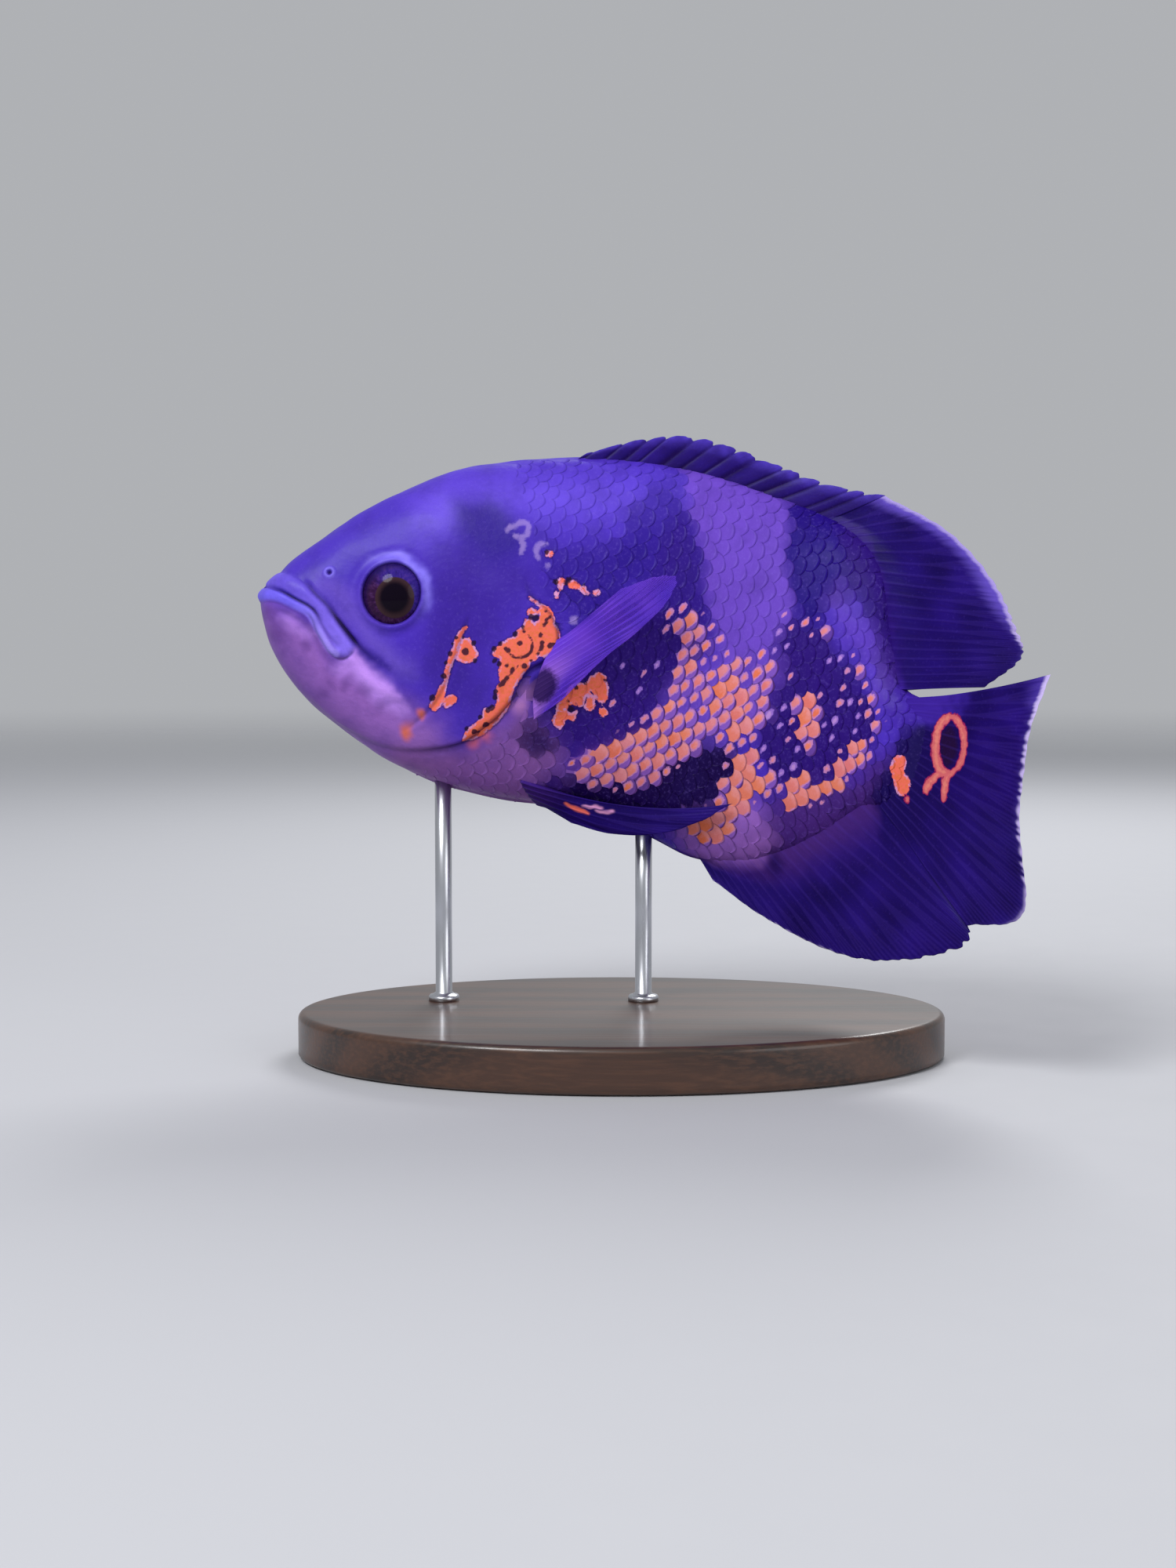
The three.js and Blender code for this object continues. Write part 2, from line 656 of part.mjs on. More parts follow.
export default oscar;
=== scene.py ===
# A life-size oscar fish on its display stand. Shapes are worked out in millimetres on a
# straight fish, as [s, y, z]: s runs back from the snout, y to the fish's right, z up.
import bpy
import numpy as np
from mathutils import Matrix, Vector


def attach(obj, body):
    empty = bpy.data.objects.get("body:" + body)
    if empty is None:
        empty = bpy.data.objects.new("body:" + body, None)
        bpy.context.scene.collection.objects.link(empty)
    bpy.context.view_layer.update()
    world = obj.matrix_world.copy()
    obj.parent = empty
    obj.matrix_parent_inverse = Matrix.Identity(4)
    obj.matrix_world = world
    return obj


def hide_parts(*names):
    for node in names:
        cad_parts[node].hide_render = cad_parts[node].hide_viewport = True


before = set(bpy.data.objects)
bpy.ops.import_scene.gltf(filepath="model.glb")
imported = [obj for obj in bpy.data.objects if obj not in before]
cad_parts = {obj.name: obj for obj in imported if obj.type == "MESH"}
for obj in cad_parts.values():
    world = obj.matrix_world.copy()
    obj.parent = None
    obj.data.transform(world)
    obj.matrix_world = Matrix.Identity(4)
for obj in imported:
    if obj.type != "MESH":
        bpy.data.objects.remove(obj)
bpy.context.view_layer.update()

degree = np.pi / 180
mm = 0.001

# Camera: at the height of the fish and square to its side, looking a little down
view = {"place": (-0.0098, -0.6364, 0.1240), "target": (-0.0098, 0.022, 0.078), "lens": 50, "sensor": 36}
cameraData = bpy.data.cameras.new("camera")
cameraData.lens = view["lens"]
cameraData.sensor_fit = "VERTICAL"
cameraData.sensor_height = view["sensor"]
camera = bpy.data.objects.new("camera", cameraData)
camera.location = view["place"]
aim = Vector(view["target"]) - Vector(view["place"])
camera.rotation_euler = aim.to_track_quat("-Z", "Y").to_euler()
bpy.context.scene.collection.objects.link(camera)
bpy.context.scene.camera = camera
print("camera set")

# The lines of the body: back [s, z], keel [s, z], widest [s, z, half width], then how round
# the ring is above and below its widest line
rings = np.array([
    [0.7, -0.5, 0.7, -0.5, 0.7, -0.5, 0, 1, 1],
    [1.6, 2.4, 1.5, -3.6, 1.6, -0.6, 4.6, 1, 1],
    [3.7, 5.2, 3.6, -8.4, 3.8, -1.2, 8.2, 1, 0.95],
    [7.4, 11.8, 7.2, -14.7, 7.6, -0.8, 10.6, 1, 0.9],
    [14.9, 20.4, 13.6, -21.7, 14.4, 0.2, 12.6, 1, 0.9],
    [24, 30.4, 22, -28, 23, 1.8, 14.4, 1, 0.9],
    [35.5, 40, 33, -33.4, 34.2, 3.4, 16.8, 1, 0.9],
    [49, 49.4, 46.5, -38.9, 47.8, 5, 19.2, 1.05, 0.9],
    [66, 56, 63, -42.4, 64.5, 6, 21.2, 1.1, 0.9],
    [85, 61.4, 83, -42.8, 84, 7.5, 22, 1.15, 0.9],
    [104, 64.6, 103, -41, 103.5, 9, 21.4, 1.2, 0.95],
    [124, 65.2, 124, -42.2, 124, 9, 19.4, 1.2, 1.05],
    [143, 63.4, 143.5, -46, 143, 7, 16.4, 1.2, 1.2],
    [158, 61.4, 160, -44.2, 159, 6, 13.2, 1.2, 1.2],
    [171, 57, 173, -37.2, 172, 5, 10.4, 1.15, 1.15],
    [181.5, 47.5, 183.5, -29.2, 182.5, 3.5, 8.2, 1.1, 1.1],
    [189, 31.5, 193, -20, 191, 1, 6.4, 1, 1],
    [197, 17.6, 200, -17.6, 198.5, 0, 4.9, 1, 1],
    [206, 15, 206, -17.6, 206, -1, 2.1, 1, 1],
    [214, 14.4, 214, -18.6, 214, -1.6, 0.1, 1, 1],
])
pose = {
    "snout": (-107, 8.6, 135.3),
    "headUp": 13.5 * degree,
    "headTurn": -11.5 * degree, "headUntil": 82,
    "tailTurn": 50 * degree, "tailFrom": 109, "tailTo": 202,
    "ease": 1.2,  # over 1, a bend starts gently
}
lastRing, bodyEnd = len(rings) - 1, rings[-1, 0]
backLean = 1.57  # the lean of the back, and less it that of the keel


def through(points, t):  # a smooth line through points, as t goes from 0 to 1
    p = np.asarray(points, float)
    last = len(p) - 1
    at = np.clip(np.asarray(t, float), 0, 1) * last
    i = np.minimum(at.astype(int), last - 1)
    f = (at - i)[..., None]
    p = np.vstack([2 * p[0] - p[1], p, 2 * p[-1] - p[-2]])
    a, b, c, d = (p[i + k] for k in range(4))
    return b + f / 2 * (c - a + f * (2 * a - 5 * b + 4 * c - d + f * (3 * (b - c) + d - a)))


def ramp(low, high, value):
    return np.clip((value - low) / (high - low), 0, 1)


def smooth(low, high, value):
    t = ramp(low, high, value)
    return t * t * (3 - 2 * t)


def heading(s):
    head = pose["headTurn"] * (1 - ramp(0, pose["headUntil"], s)) ** pose["ease"]
    return head + pose["tailTurn"] * ramp(pose["tailFrom"], pose["tailTo"], s) ** pose["ease"]


spineStep, spineEnd = 0.5, 330
spineS = np.arange(0, spineEnd, spineStep)
spineTurn = heading(spineS + spineStep / 2)
spineX = np.concatenate([[0], np.cumsum(spineStep * np.cos(spineTurn))])[:-1]
spineY = np.concatenate([[0], np.cumsum(-spineStep * np.sin(spineTurn))])[:-1]


def swim(p):  # points of the straight fish, in mm, carried into the pose, in metres
    s, y, z = np.moveaxis(np.asarray(p, float), -1, 0)
    turn = heading(s)
    early = np.minimum(s, 0)
    x = np.interp(s, spineS, spineX) + early * np.cos(turn) + y * np.sin(turn)
    across = np.interp(s, spineS, spineY) - early * np.sin(turn) + y * np.cos(turn)
    c, k = np.cos(pose["headUp"]), np.sin(pose["headUp"])
    x0, y0, z0 = pose["snout"]
    return np.stack([x0 + x * c + z * k, y0 + across, z0 + z * c - x * k], -1) * mm


def onBody(ring, lean, side):  # the skin, by ring and by angle over its widest line
    row = through(rings, np.asarray(ring) / lastRing)
    high = np.asarray(lean) > 0
    up = np.abs(np.sin(lean))
    out = np.maximum(np.cos(lean), 0) ** np.where(high, row[..., 7], row[..., 8])
    edgeS = np.where(high, row[..., 0], row[..., 2])
    edgeZ = np.where(high, row[..., 1], row[..., 3])
    s = row[..., 4] + (edgeS - row[..., 4]) * up
    z = row[..., 5] + (edgeZ - row[..., 5]) * up
    return np.stack([s, side * np.maximum(row[..., 6], 0) * out, z], -1)


def unit(v):
    return v / np.maximum(np.linalg.norm(v, axis=-1, keepdims=True), 1e-9)


def outward(ring, lean, side):  # the skin's normal, from two short steps over it
    step, limit = 0.02, backLean - 0.02
    low = np.maximum(np.asarray(ring) - step, step / 2)
    along = onBody(low + 2 * step, lean, side) - onBody(low, lean, side)
    over = onBody(ring, np.minimum(lean + step, limit), side)
    over -= onBody(ring, np.maximum(lean - step, -limit), side)
    return unit(np.cross(over, along) * np.asarray(side)[..., None])


def toLine(p, line, count=160):  # distance to a line, signed by its side, and how far along it
    points = through(line, np.linspace(0, 1, count))
    best = np.full(len(p), 1e9)
    sign = np.ones(len(p))
    along = np.zeros(len(p))
    for i in range(count - 1):
        a, b = points[i], points[i + 1]
        ab = b - a
        t = np.clip((p - a) @ ab / max(ab @ ab, 1e-9), 0, 1)
        away = p - (a + t[:, None] * ab)
        d = np.sqrt((away ** 2).sum(-1))
        near = d < best
        best = np.where(near, d, best)
        along = np.where(near, (i + t) / (count - 1), along)
        if p.shape[1] == 2:
            turn = ab[0] * (p[:, 1] - a[1]) - ab[1] * (p[:, 0] - a[0])
            sign = np.where(near, np.sign(turn), sign)
    return best, sign, along


def skinPlace(place):  # the ring and lean where the skin passes a point [s, z] of the side
    place = np.atleast_2d(np.asarray(place, float))
    ring = lastRing * ramp(0, bodyEnd, place[:, 0])
    lean = np.zeros(len(place))
    for _ in range(60):  # steps towards the place, until both have settled
        here = onBody(ring, lean, -1.0)
        edge = np.where(place[:, 1] > here[:, 2], backLean, -backLean)
        reach = np.abs(onBody(ring, edge, -1.0)[:, 2] - onBody(ring, lean * 0, -1.0)[:, 2])
        ring = np.clip(ring + (place[:, 0] - here[:, 0]) / 12, 0.05, lastRing)
        lean = np.clip(lean + 0.6 * (place[:, 1] - here[:, 2]) / np.maximum(reach, 2), -1.5, 1.5)
    return ring, lean


def onSkin(place, lift=0.0, side=-1.0):
    ring, lean = skinPlace(place)
    return onBody(ring, lean, side) + outward(ring, lean, np.full(len(ring), side)) * lift


def laid(line):  # a line of the side, laid on the right half's skin, from the middle of the snout
    points = np.abs(onSkin(line) * [1, 1, 0]) + onSkin(line) * [0, 0, 1]
    points[0] = [line[0][0], 0, line[0][1]]
    return points


def wobble(p, size, seed=0):  # soft noise from about -1 to 1, the same on every run
    total = 0
    for k in range(4):
        a = np.array([0.71, -1.13, 0.93]) * (1 + 0.37 * k) + seed * (k + 1.7)
        b = np.array([-1.21, 0.83, 0.67]) * (1 + 0.29 * k) - seed * (k + 0.9)
        one = np.sin(p @ np.sin(a * 3) * 5 / size + a[0])
        total = total + one * np.sin(p @ np.sin(b * 5) * 5 / size + b[1])
    return total / 2.6


def closed(outline, each=8):  # a smooth closed line through a few corners
    p = np.asarray(outline, float)
    n = len(p)
    i = np.arange(n)[:, None]
    f = (np.arange(each) / each)[None, :, None]
    a, b, c, d = p[(i - 1) % n], p[i], p[(i + 1) % n], p[(i + 2) % n]
    line = b + f / 2 * (c - a + f * (2 * a - 5 * b + 4 * c - d + f * (3 * (b - c) + d - a)))
    return line.reshape(-1, 2)


def depthIn(place, outline, reach=12.0, each=8):  # mm inside (+) or outside (-) a closed line
    line = closed(outline, each)
    low, high = line.min(0) - reach, line.max(0) + reach
    near = np.flatnonzero(((place > low) & (place < high)).all(1))
    found = np.full(len(place), -float(reach))
    if not len(near):
        return found
    p = place[near]
    best = np.full(len(p), 1e9)
    inside = np.zeros(len(p), bool)
    for a, b in zip(line, np.roll(line, -1, 0)):
        ab = b - a
        t = np.clip((p - a) @ ab / max(ab @ ab, 1e-9), 0, 1)
        best = np.minimum(best, ((p - a - t[:, None] * ab) ** 2).sum(1))
        crosses = (a[1] > p[:, 1]) != (b[1] > p[:, 1])
        at = a[0] + (p[:, 1] - a[1]) * ab[0] / (ab[1] if abs(ab[1]) > 1e-9 else 1e-9)
        inside ^= crosses & (p[:, 0] < at)
    found[near] = np.where(inside, 1, -1) * np.sqrt(best)
    return found


def spots(place, dots):  # mm inside the nearest of some round dots [s, z, radius]
    best = np.full(len(place), -9.0)
    for s, z, radius in dots:
        best = np.maximum(best, radius - np.hypot(place[:, 0] - s, place[:, 1] - z))
    return best


def stroke(place, line, width, thin=0.6):  # mm inside a drawn stroke, thinner at its ends
    away, _, along = toLine(place, line, 80)
    return width * (thin + (1 - thin) * np.sin(np.pi * along)) - away


# Meshes
def makeMesh(name, points, smoothFaces, flatFaces=()):
    mesh = bpy.data.meshes.new(name)
    blocks = [(np.asarray(f, np.int32), True) for f in smoothFaces]
    blocks += [(np.asarray(f, np.int32), False) for f in flatFaces]
    counts = np.concatenate([np.full(len(f), f.shape[1], np.int32) for f, _ in blocks])
    corners = np.concatenate([f.ravel() for f, _ in blocks])
    mesh.vertices.add(len(points))
    mesh.vertices.foreach_set("co", np.asarray(points, np.float32).ravel())
    mesh.loops.add(len(corners))
    mesh.loops.foreach_set("vertex_index", corners)
    mesh.polygons.add(len(counts))
    starts = np.concatenate([[0], np.cumsum(counts)[:-1]]).astype(np.int32)
    mesh.polygons.foreach_set("loop_start", starts)
    shade = np.concatenate([np.full(len(f), soft) for f, soft in blocks])
    mesh.polygons.foreach_set("use_smooth", shade)
    mesh.update(calc_edges=True)
    mesh.validate()
    piece = bpy.data.objects.new(name, mesh)
    bpy.context.scene.collection.objects.link(piece)
    return piece


def paint(piece, name, values):  # keeps a number, a vector or a colour at each vertex
    values = np.asarray(values, np.float32)
    width = values.shape[1] if values.ndim > 1 else 1
    kinds = {1: ("FLOAT", "value"), 3: ("FLOAT_VECTOR", "vector"), 4: ("FLOAT_COLOR", "color")}
    kind, key = kinds[width]
    layer = piece.data.attributes.new(name, kind, "POINT")
    layer.data.foreach_set(key, values.ravel())


def withAlpha(colours):
    return np.hstack([colours, np.ones((len(colours), 1))])


def gridFaces(n, m, loops=False):  # the quads of a grid of n by m points, closed round m or not
    i, j = np.meshgrid(np.arange(n - 1), np.arange(m if loops else m - 1), indexing="ij")
    k = (j + 1) % m
    return np.stack([i * m + j, i * m + k, (i + 1) * m + k, (i + 1) * m + j], -1).reshape(-1, 4)


def capFaces(n, m):  # fans from two more points to the first and the last row of a closed grid
    j = np.arange(m)
    k = (j + 1) % m
    first = np.stack([np.full(m, n * m), k, j], 1)
    last = np.stack([np.full(m, n * m + 1), (n - 1) * m + j, (n - 1) * m + k], 1)
    return np.vstack([first, last])


def wear(piece, finish):  # every piece is still, so all ride on the one body
    piece.data.materials.append(finish.material)
    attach(piece, "root")


class Value:  # a shader socket that can be used in sums
    def __init__(self, finish, socket):
        self.finish, self.socket = finish, socket

    def math(self, operation, *values, clamp=False):
        settings = {"operation": operation, "use_clamp": clamp}
        return self.finish.node("Math", settings, dict(enumerate(values)))

    def __add__(self, other):
        return self.math("ADD", self, other)

    def __sub__(self, other):
        return self.math("SUBTRACT", self, other)

    def __rsub__(self, other):
        return self.math("SUBTRACT", other, self)

    def __mul__(self, other):
        return self.math("MULTIPLY", self, other)

    def __truediv__(self, other):
        return self.math("DIVIDE", self, other)

    def __pow__(self, other):
        return self.math("POWER", self, other)

    __radd__, __rmul__ = __add__, __mul__

    def clamped(self):
        return self.math("ADD", self, 0.0, clamp=True)

    def sine(self):
        return self.math("SINE", self)

    def step(self, low, high):  # 0 below low, 1 over high, eased between
        inputs = {"Value": self, "From Min": low, "From Max": high}
        return self.finish.node("MapRange", {"interpolation_type": "SMOOTHSTEP"}, inputs)


class Finish:  # one material, built up from nodes
    def __init__(self, name, **constants):
        self.material = bpy.data.materials.new(name)
        self.material.use_nodes = True
        self.tree = self.material.node_tree
        self.tree.nodes.clear()
        self.shader = self.tree.nodes.new("ShaderNodeBsdfPrincipled")
        out = self.tree.nodes.new("ShaderNodeOutputMaterial")
        self.tree.links.new(self.shader.outputs[0], out.inputs["Surface"])
        self.set(**constants)

    def set(self, **values):  # baseColor="..." goes to the socket Base Color
        for key, value in values.items():
            words = "".join(" " + c if c.isupper() else c for c in key).title()
            self.link(self.shader.inputs[words.replace("Ior", "IOR")], value)

    def link(self, socket, value):
        if isinstance(value, Value):
            self.tree.links.new(value.socket, socket)
        else:
            socket.default_value = value

    def node(self, kind, settings=None, inputs=None, output=0):
        made = self.tree.nodes.new("ShaderNode" + kind)
        for key, value in (settings or {}).items():
            setattr(made, key, value)
        for key, value in (inputs or {}).items():
            self.link(made.inputs[key], value)
        return Value(self, made.outputs[output])

    def kept(self, name, output="Fac"):  # what paint() kept on the mesh
        return self.node("Attribute", {"attribute_name": name}, output=output)

    def mix(self, factor, a, b):
        return self.node("Mix", {"data_type": "RGBA"}, {0: factor, 6: a, 7: b}, output=2)

    def layered(self, colour, *layers):  # lays tints over a colour, each by a factor of its own
        for factor, over in layers:
            colour = self.mix(factor, colour, over)
        return colour

    def stretched(self, place, by):
        return self.node("VectorMath", {"operation": "MULTIPLY"}, {0: place, 1: by})

    def noise(self, place, scale, detail=3.0, roughness=0.55, stretch=None):
        place = self.stretched(place, stretch) if stretch else place
        inputs = {"Vector": place, "Scale": scale, "Detail": detail, "Roughness": roughness}
        return self.node("TexNoise", None, inputs)

    def cells(self, place, scale, stretch):
        inputs = {"Vector": self.stretched(place, stretch), "Scale": scale}
        return self.node("TexVoronoi", None, inputs)

    def parts(self, vector):
        return [self.node("SeparateXYZ", None, {0: vector}, output=i) for i in range(3)]

    def bump(self, height, distance, strength):
        inputs = {"Height": height, "Distance": distance, "Strength": strength}
        return self.node("Bump", None, inputs)


def tint(red, green, blue):  # a colour from 0 to 255, as the shader's light
    c = np.array([red, green, blue]) / 255
    c = np.where(c < 0.04045, c / 12.92, ((c + 0.055) / 1.055) ** 2.4)
    return tuple(float(v) for v in c) + (1.0,)


def toward(colours, amount, target):  # carries each colour a share of the way to another
    return colours + np.clip(amount, 0, 1)[:, None] * (np.array(target[:3]) - colours)


palette = {
    "violet": tint(74, 46, 184),
    "periwinkle": tint(74, 54, 178),
    # painted highlight along the top of the head and the back
    "nape": tint(106, 78, 220),
    "cheek": tint(56, 30, 146),
    # a dark smudge behind the eye, and painted shade along the lip groove behind the upper jaw
    "smudgeAndGrooveShade": tint(46, 24, 138),
    "ink": tint(43, 15, 116),
    "black": tint(23, 3, 68),
    "band": tint(33, 10, 122),
    "dusk": tint(62, 32, 156),
    "lilac": tint(112, 74, 194),
    # painted sheen on the chin, along the jaw's ridge and on the throat
    "jaw": tint(206, 152, 255),
    "pink": tint(168, 112, 206),
    "chin": tint(135, 90, 172),
    "mauve": tint(140, 90, 165),
    "plum": tint(74, 38, 118),
    "orange": tint(230, 112, 70),
    "coral": tint(240, 110, 92),
    "blush": tint(214, 146, 196),
    "pale": tint(190, 160, 226),
    "dot": tint(34, 10, 44),
    "snout": tint(106, 80, 196),
    "lip": tint(108, 86, 220),
    "lobe": tint(144, 118, 252),
    "lobeEdge": tint(168, 146, 255),
    # painted highlight on the rims of the orbit and the nostril
    "glow": tint(146, 130, 255),
    "lowLip": tint(116, 102, 244),
    "rust": tint(170, 84, 96),
    "finDark": tint(20, 4, 80),
    "finLight": tint(34, 12, 112),
    "spine": tint(74, 54, 178),
    "clearDark": tint(76, 40, 190),
    "clearLight": tint(112, 62, 212),
}
jawRidge = [
    [30, -12.4], [32, -10.7], [34.9, -12.6], [38.3, -14.3], [41.9, -15.8], [45.8, -17.3], [47.4, -19.8],
    [45.1, -20.3], [40.9, -19.4], [37.2, -17.9], [33.4, -16.1],
]

# The markings, with some painted highlights and shade, as outlines on the side of the fish: [s, z]
shades = [  # colour, softness in mm, strength, outline
    # Head, from the nape to the jaw; the first is a painted highlight along the top of the head and back
    ("nape", 9, 0.85, [[40, 40], [62, 50], [90, 56], [118, 60], [110, 50], [90, 44], [66, 38], [46, 28]]),
    ("periwinkle", 9, 0.8, [[3, 6], [12, 14], [26, 28], [34, 32], [30, 18], [22, 6], [14, 2], [6, 2]]),
    ("cheek", 8, 0.8, [
        [49, 25], [67, 29], [82, 21], [74, 10], [70, -3], [71, -17], [60, -19], [51, -5], [49, 11],
    ]),
    ("smudgeAndGrooveShade", 5, 0.95, [[51, 40], [60, 42], [69, 38], [74, 31], [68, 25], [58, 27], [52, 33]]),
    ("band", 5, 0.7, [[79, 31], [94, 36], [107, 41], [107, 29], [103, 17], [95, 12], [89, 16], [83, 23]]),
    ("chin", 7, 0.9, [
        [1, -3], [12, -4], [20, -8], [28, -14], [46, -20], [62, -26], [62, -44], [42, -46], [26, -42],
        [10, -32], [-2, -16],
    ]),
    ("pink", 5, 0.6, [
        [12, -6], [20, -11], [30, -16], [46, -24], [60, -27], [52, -33], [40, -31], [30, -26], [20, -19],
        [14, -12],
    ]),
    ("snout", 4, 0.85, [
        [14, 6], [19, 9], [26, 8], [31, 2], [37, -3], [44, -7], [50, -12], [46, -14], [38, -10.5],
        [31, -5.5], [25, -1], [20, 2.5],
    ]),
    # The next three are painted sheen: under the lower lip, along the jaw's ridge, and on the throat
    ("jaw", 2, 0.4, [
        [7, -5], [10.2, -4.3], [13.4, -5.4], [16.7, -6.7], [18.8, -8.6], [17.2, -10.4], [14, -9.8],
        [10.5, -8],
    ]),
    ("jaw", 2.2, 1, jawRidge),
    ("jaw", 2, 0.6, [
        [26, -16], [28.6, -13], [31.2, -9.6], [34.4, -11.6], [40, -15], [47, -19], [51, -24], [46, -25],
        [39, -22], [33, -19],
    ]),
    # painted shade along the lip groove, behind the end of the upper jaw
    ("smudgeAndGrooveShade", 1.6, 0.85, [
        [29.4, -6.4], [33.3, -8.2], [36.7, -9.6], [40.2, -11.2], [43.4, -12.8], [40.9, -13.1], [36.9, -12],
        [32.6, -10],
    ]),
    # Behind the pectoral fin, and the breast
    ("ink", 4, 0.85, [
        [87, -16], [100, -12], [112, -10], [124, -8], [122, -14], [112, -19], [104, -24], [96, -30],
        [88, -30],
    ]),
    ("rust", 3, 0.55, [
        [121, -12], [138, -14], [136, -18], [130, -24], [120, -29], [108, -32], [104, -29], [105, -24],
        [114, -17],
    ]),
    ("mauve", 6, 0.9, [
        [51, -35], [63, -32], [72, -28], [79, -20], [84, -14], [94, -21], [100, -29], [106, -32], [99, -44],
        [83, -52], [64, -54], [48, -50],
    ]),
    # The dark and light bands over the flank
    ("band", 5, 0.65, [
        [110, 60], [119, 54], [126, 43], [130, 32], [134, 21], [120, 20], [111, 23], [104, 33], [100, 45],
        [103, 55],
    ]),
    ("ink", 4, 0.6, [[116, 52], [123, 47], [129, 34], [134, 21], [118, 22], [112, 36]]),
    ("ink", 4, 1, [
        [116, 24], [134, 21], [135, 12], [130, 4], [126, -4], [116, -14], [106, -21], [98, -20], [92, -11],
        [98, 5], [103, 16], [108, 23],
    ]),
    ("black", 3.5, 1, [
        [101, -31], [112, -27], [120, -26], [131, -20], [140, -12], [150, -10], [156, -15], [155, -24],
        [150, -30], [137, -37], [122, -41], [108, -41], [100, -38],
    ]),
    ("lilac", 2, 0.85, [
        [112, 70], [124, 72], [138, 71], [150, 66], [152, 52], [155, 42], [161, 34], [160, 27], [158, 18],
        [152, 14], [142, 12], [136, 22], [130, 32], [126, 43], [119, 54],
    ]),
    ("ink", 2.5, 1, [
        [158, 27], [166, 30], [174, 27], [182, 20], [192, 10], [196, 2], [191, -5], [184, -13], [177, -18],
        [170, -18], [162, -13], [158, -4], [160, 6], [158, 15],
    ]),
    ("band", 2, 1, [
        [148, 68], [160, 66], [171, 61], [175, 50], [177, 40], [171, 35], [168, 30], [161, 30], [156, 40],
        [151, 48],
    ]),
    ("ink", 2.5, 1, [
        [161, 66], [174, 61], [186, 50], [194, 38], [199, 27], [200, 18], [193, 17], [186, 28], [180, 37],
        [171, 47],
    ]),
    ("lilac", 3, 0.4, [
        [170, 44], [178, 37], [184, 32], [192, 22], [198, 14], [196, 11], [188, 19], [180, 26], [172, 32],
        [168, 37],
    ]),
    ("lilac", 4, 0.75, [
        [138, 12], [159, 17], [160, 8], [157, -4], [150, -8], [140, -12], [130, -10], [126, 0],
    ]),
    # Round the roots of the anal fin and the tail
    ("ink", 5, 0.9, [
        [152, -41], [170, -35], [188, -24], [204, -10], [216, -24], [208, -46], [188, -62], [160, -62],
        [142, -54],
    ]),
    ("plum", 6, 0.9, [
        [166, -24], [173, -18], [189, -12], [200, -3], [206, -6], [202, -20], [186, -34], [172, -46],
        [160, -44],
    ]),
    ("pink", 4, 0.8, [
        [138, -37], [150, -31], [157, -24], [165, -27], [168, -36], [164, -42], [152, -46], [142, -44],
    ]),
    ("dusk", 3, 0.8, [[195, 18], [204, 20], [218, 18], [214, 11], [205, 8], [198, 5]]),
    ("finDark", 2.5, 1, [
        [204, 6], [211, 9], [232, 10], [236, -50], [214, -48], [202, -24], [198, -15], [200, -8], [202, -1],
    ]),
]
smudges = [  # colour, round soft spots [s, z, radius], strength
    ("black", [[88, -7.1, 5.4], [88.6, -12, 2.6]], 1), ("black", [[88.4, -21.4, 6.4], [92, -24, 5]], 0.9),
    ("ink", [[97, -35, 6.5]], 0.9), ("orange", [[52.2, -28.8, 3], [55.1, -23.3, 2.1]], 0.9),
    ("black", [[170.5, -42, 4]], 0.8),
    (
        "plum",
        [
            [4, -5.6, 2.8], [16.6, -12.5, 2.6], [26, -20.4, 3], [31, -20, 2.8], [36.6, -20.6, 3.2],
            [42.8, -23.3, 3], [7, -9.5, 4], [24, -24.5, 2.6],
        ],
        0.4,
    ),
    ("coral", [[72, -27.2, 3.4], [76, -24.2, 3]], 0.55),
    ("blush", [[84, -9.6, 3.6], [83.4, -14, 3.6]], 0.5),
]
orangeFields = [  # how far each scale's own mark grows there, softness, outline
    (1.0, 1.5, [[119, 22], [125, 24], [137, 20], [139, 14], [134, 11], [126, 16], [121, 19]]),
    (0.95, 2.0, [
        [128, 12], [137, 10], [144, 14], [151, 18], [158, 14], [159, 7], [158, -4], [155, -9], [150, -8],
        [144, -11], [138, -14], [130, -14], [122, -14], [121, -12], [124, -4], [127, 2],
    ]),
    (1.5, 1.0, [[142, 7], [150, 6], [154, 1], [156, -6], [150, -8], [143, -4]]),
    (1.35, 2.0, [
        [121, -12], [138, -14], [136, -18], [130, -24], [120, -29], [108, -32], [104, -29], [105, -24],
        [114, -17],
    ]),
    (2.0, 1.5, [
        [151, -13], [156, -11], [161, -16], [166, -18], [166, -21], [161, -23], [158, -29], [153, -30],
        [151, -25], [153, -19],
    ]),
    (1.9, 1.5, [
        [170, -18], [173, -14], [180, -17], [186, -11], [188, -4], [191, -2], [195, -4], [190, -10],
        [186, -15], [181, -20], [174, -23],
    ]),
    (1.9, 1.5, [[172, -4], [169, 4], [171, 10], [174, 9], [176, 2], [175, -5]]),
    (1.7, 1.5, [[146, -33], [153, -30], [155, -36], [149, -39], [143, -38]]),
    (0.75, 1.0, [
        [157, 28], [163, 31], [167, 30], [174, 27], [182, 22], [189, 16], [193, 11], [198, 4], [196, 1],
        [191, 9], [182, 18], [173, 25], [163, 27],
    ]),
]
dotFields = [  # share of scales with a small mark, outline
    (0.6, [
        [155, 24], [163, 28], [174, 25], [186, 16], [198, 2], [196, -7], [184, -12], [170, -16], [160, -12],
        [155, 0],
    ]),
    (0.25, [[106, -4], [112, 8], [122, 18], [132, 10], [126, -2], [118, -12], [108, -12]]),
]
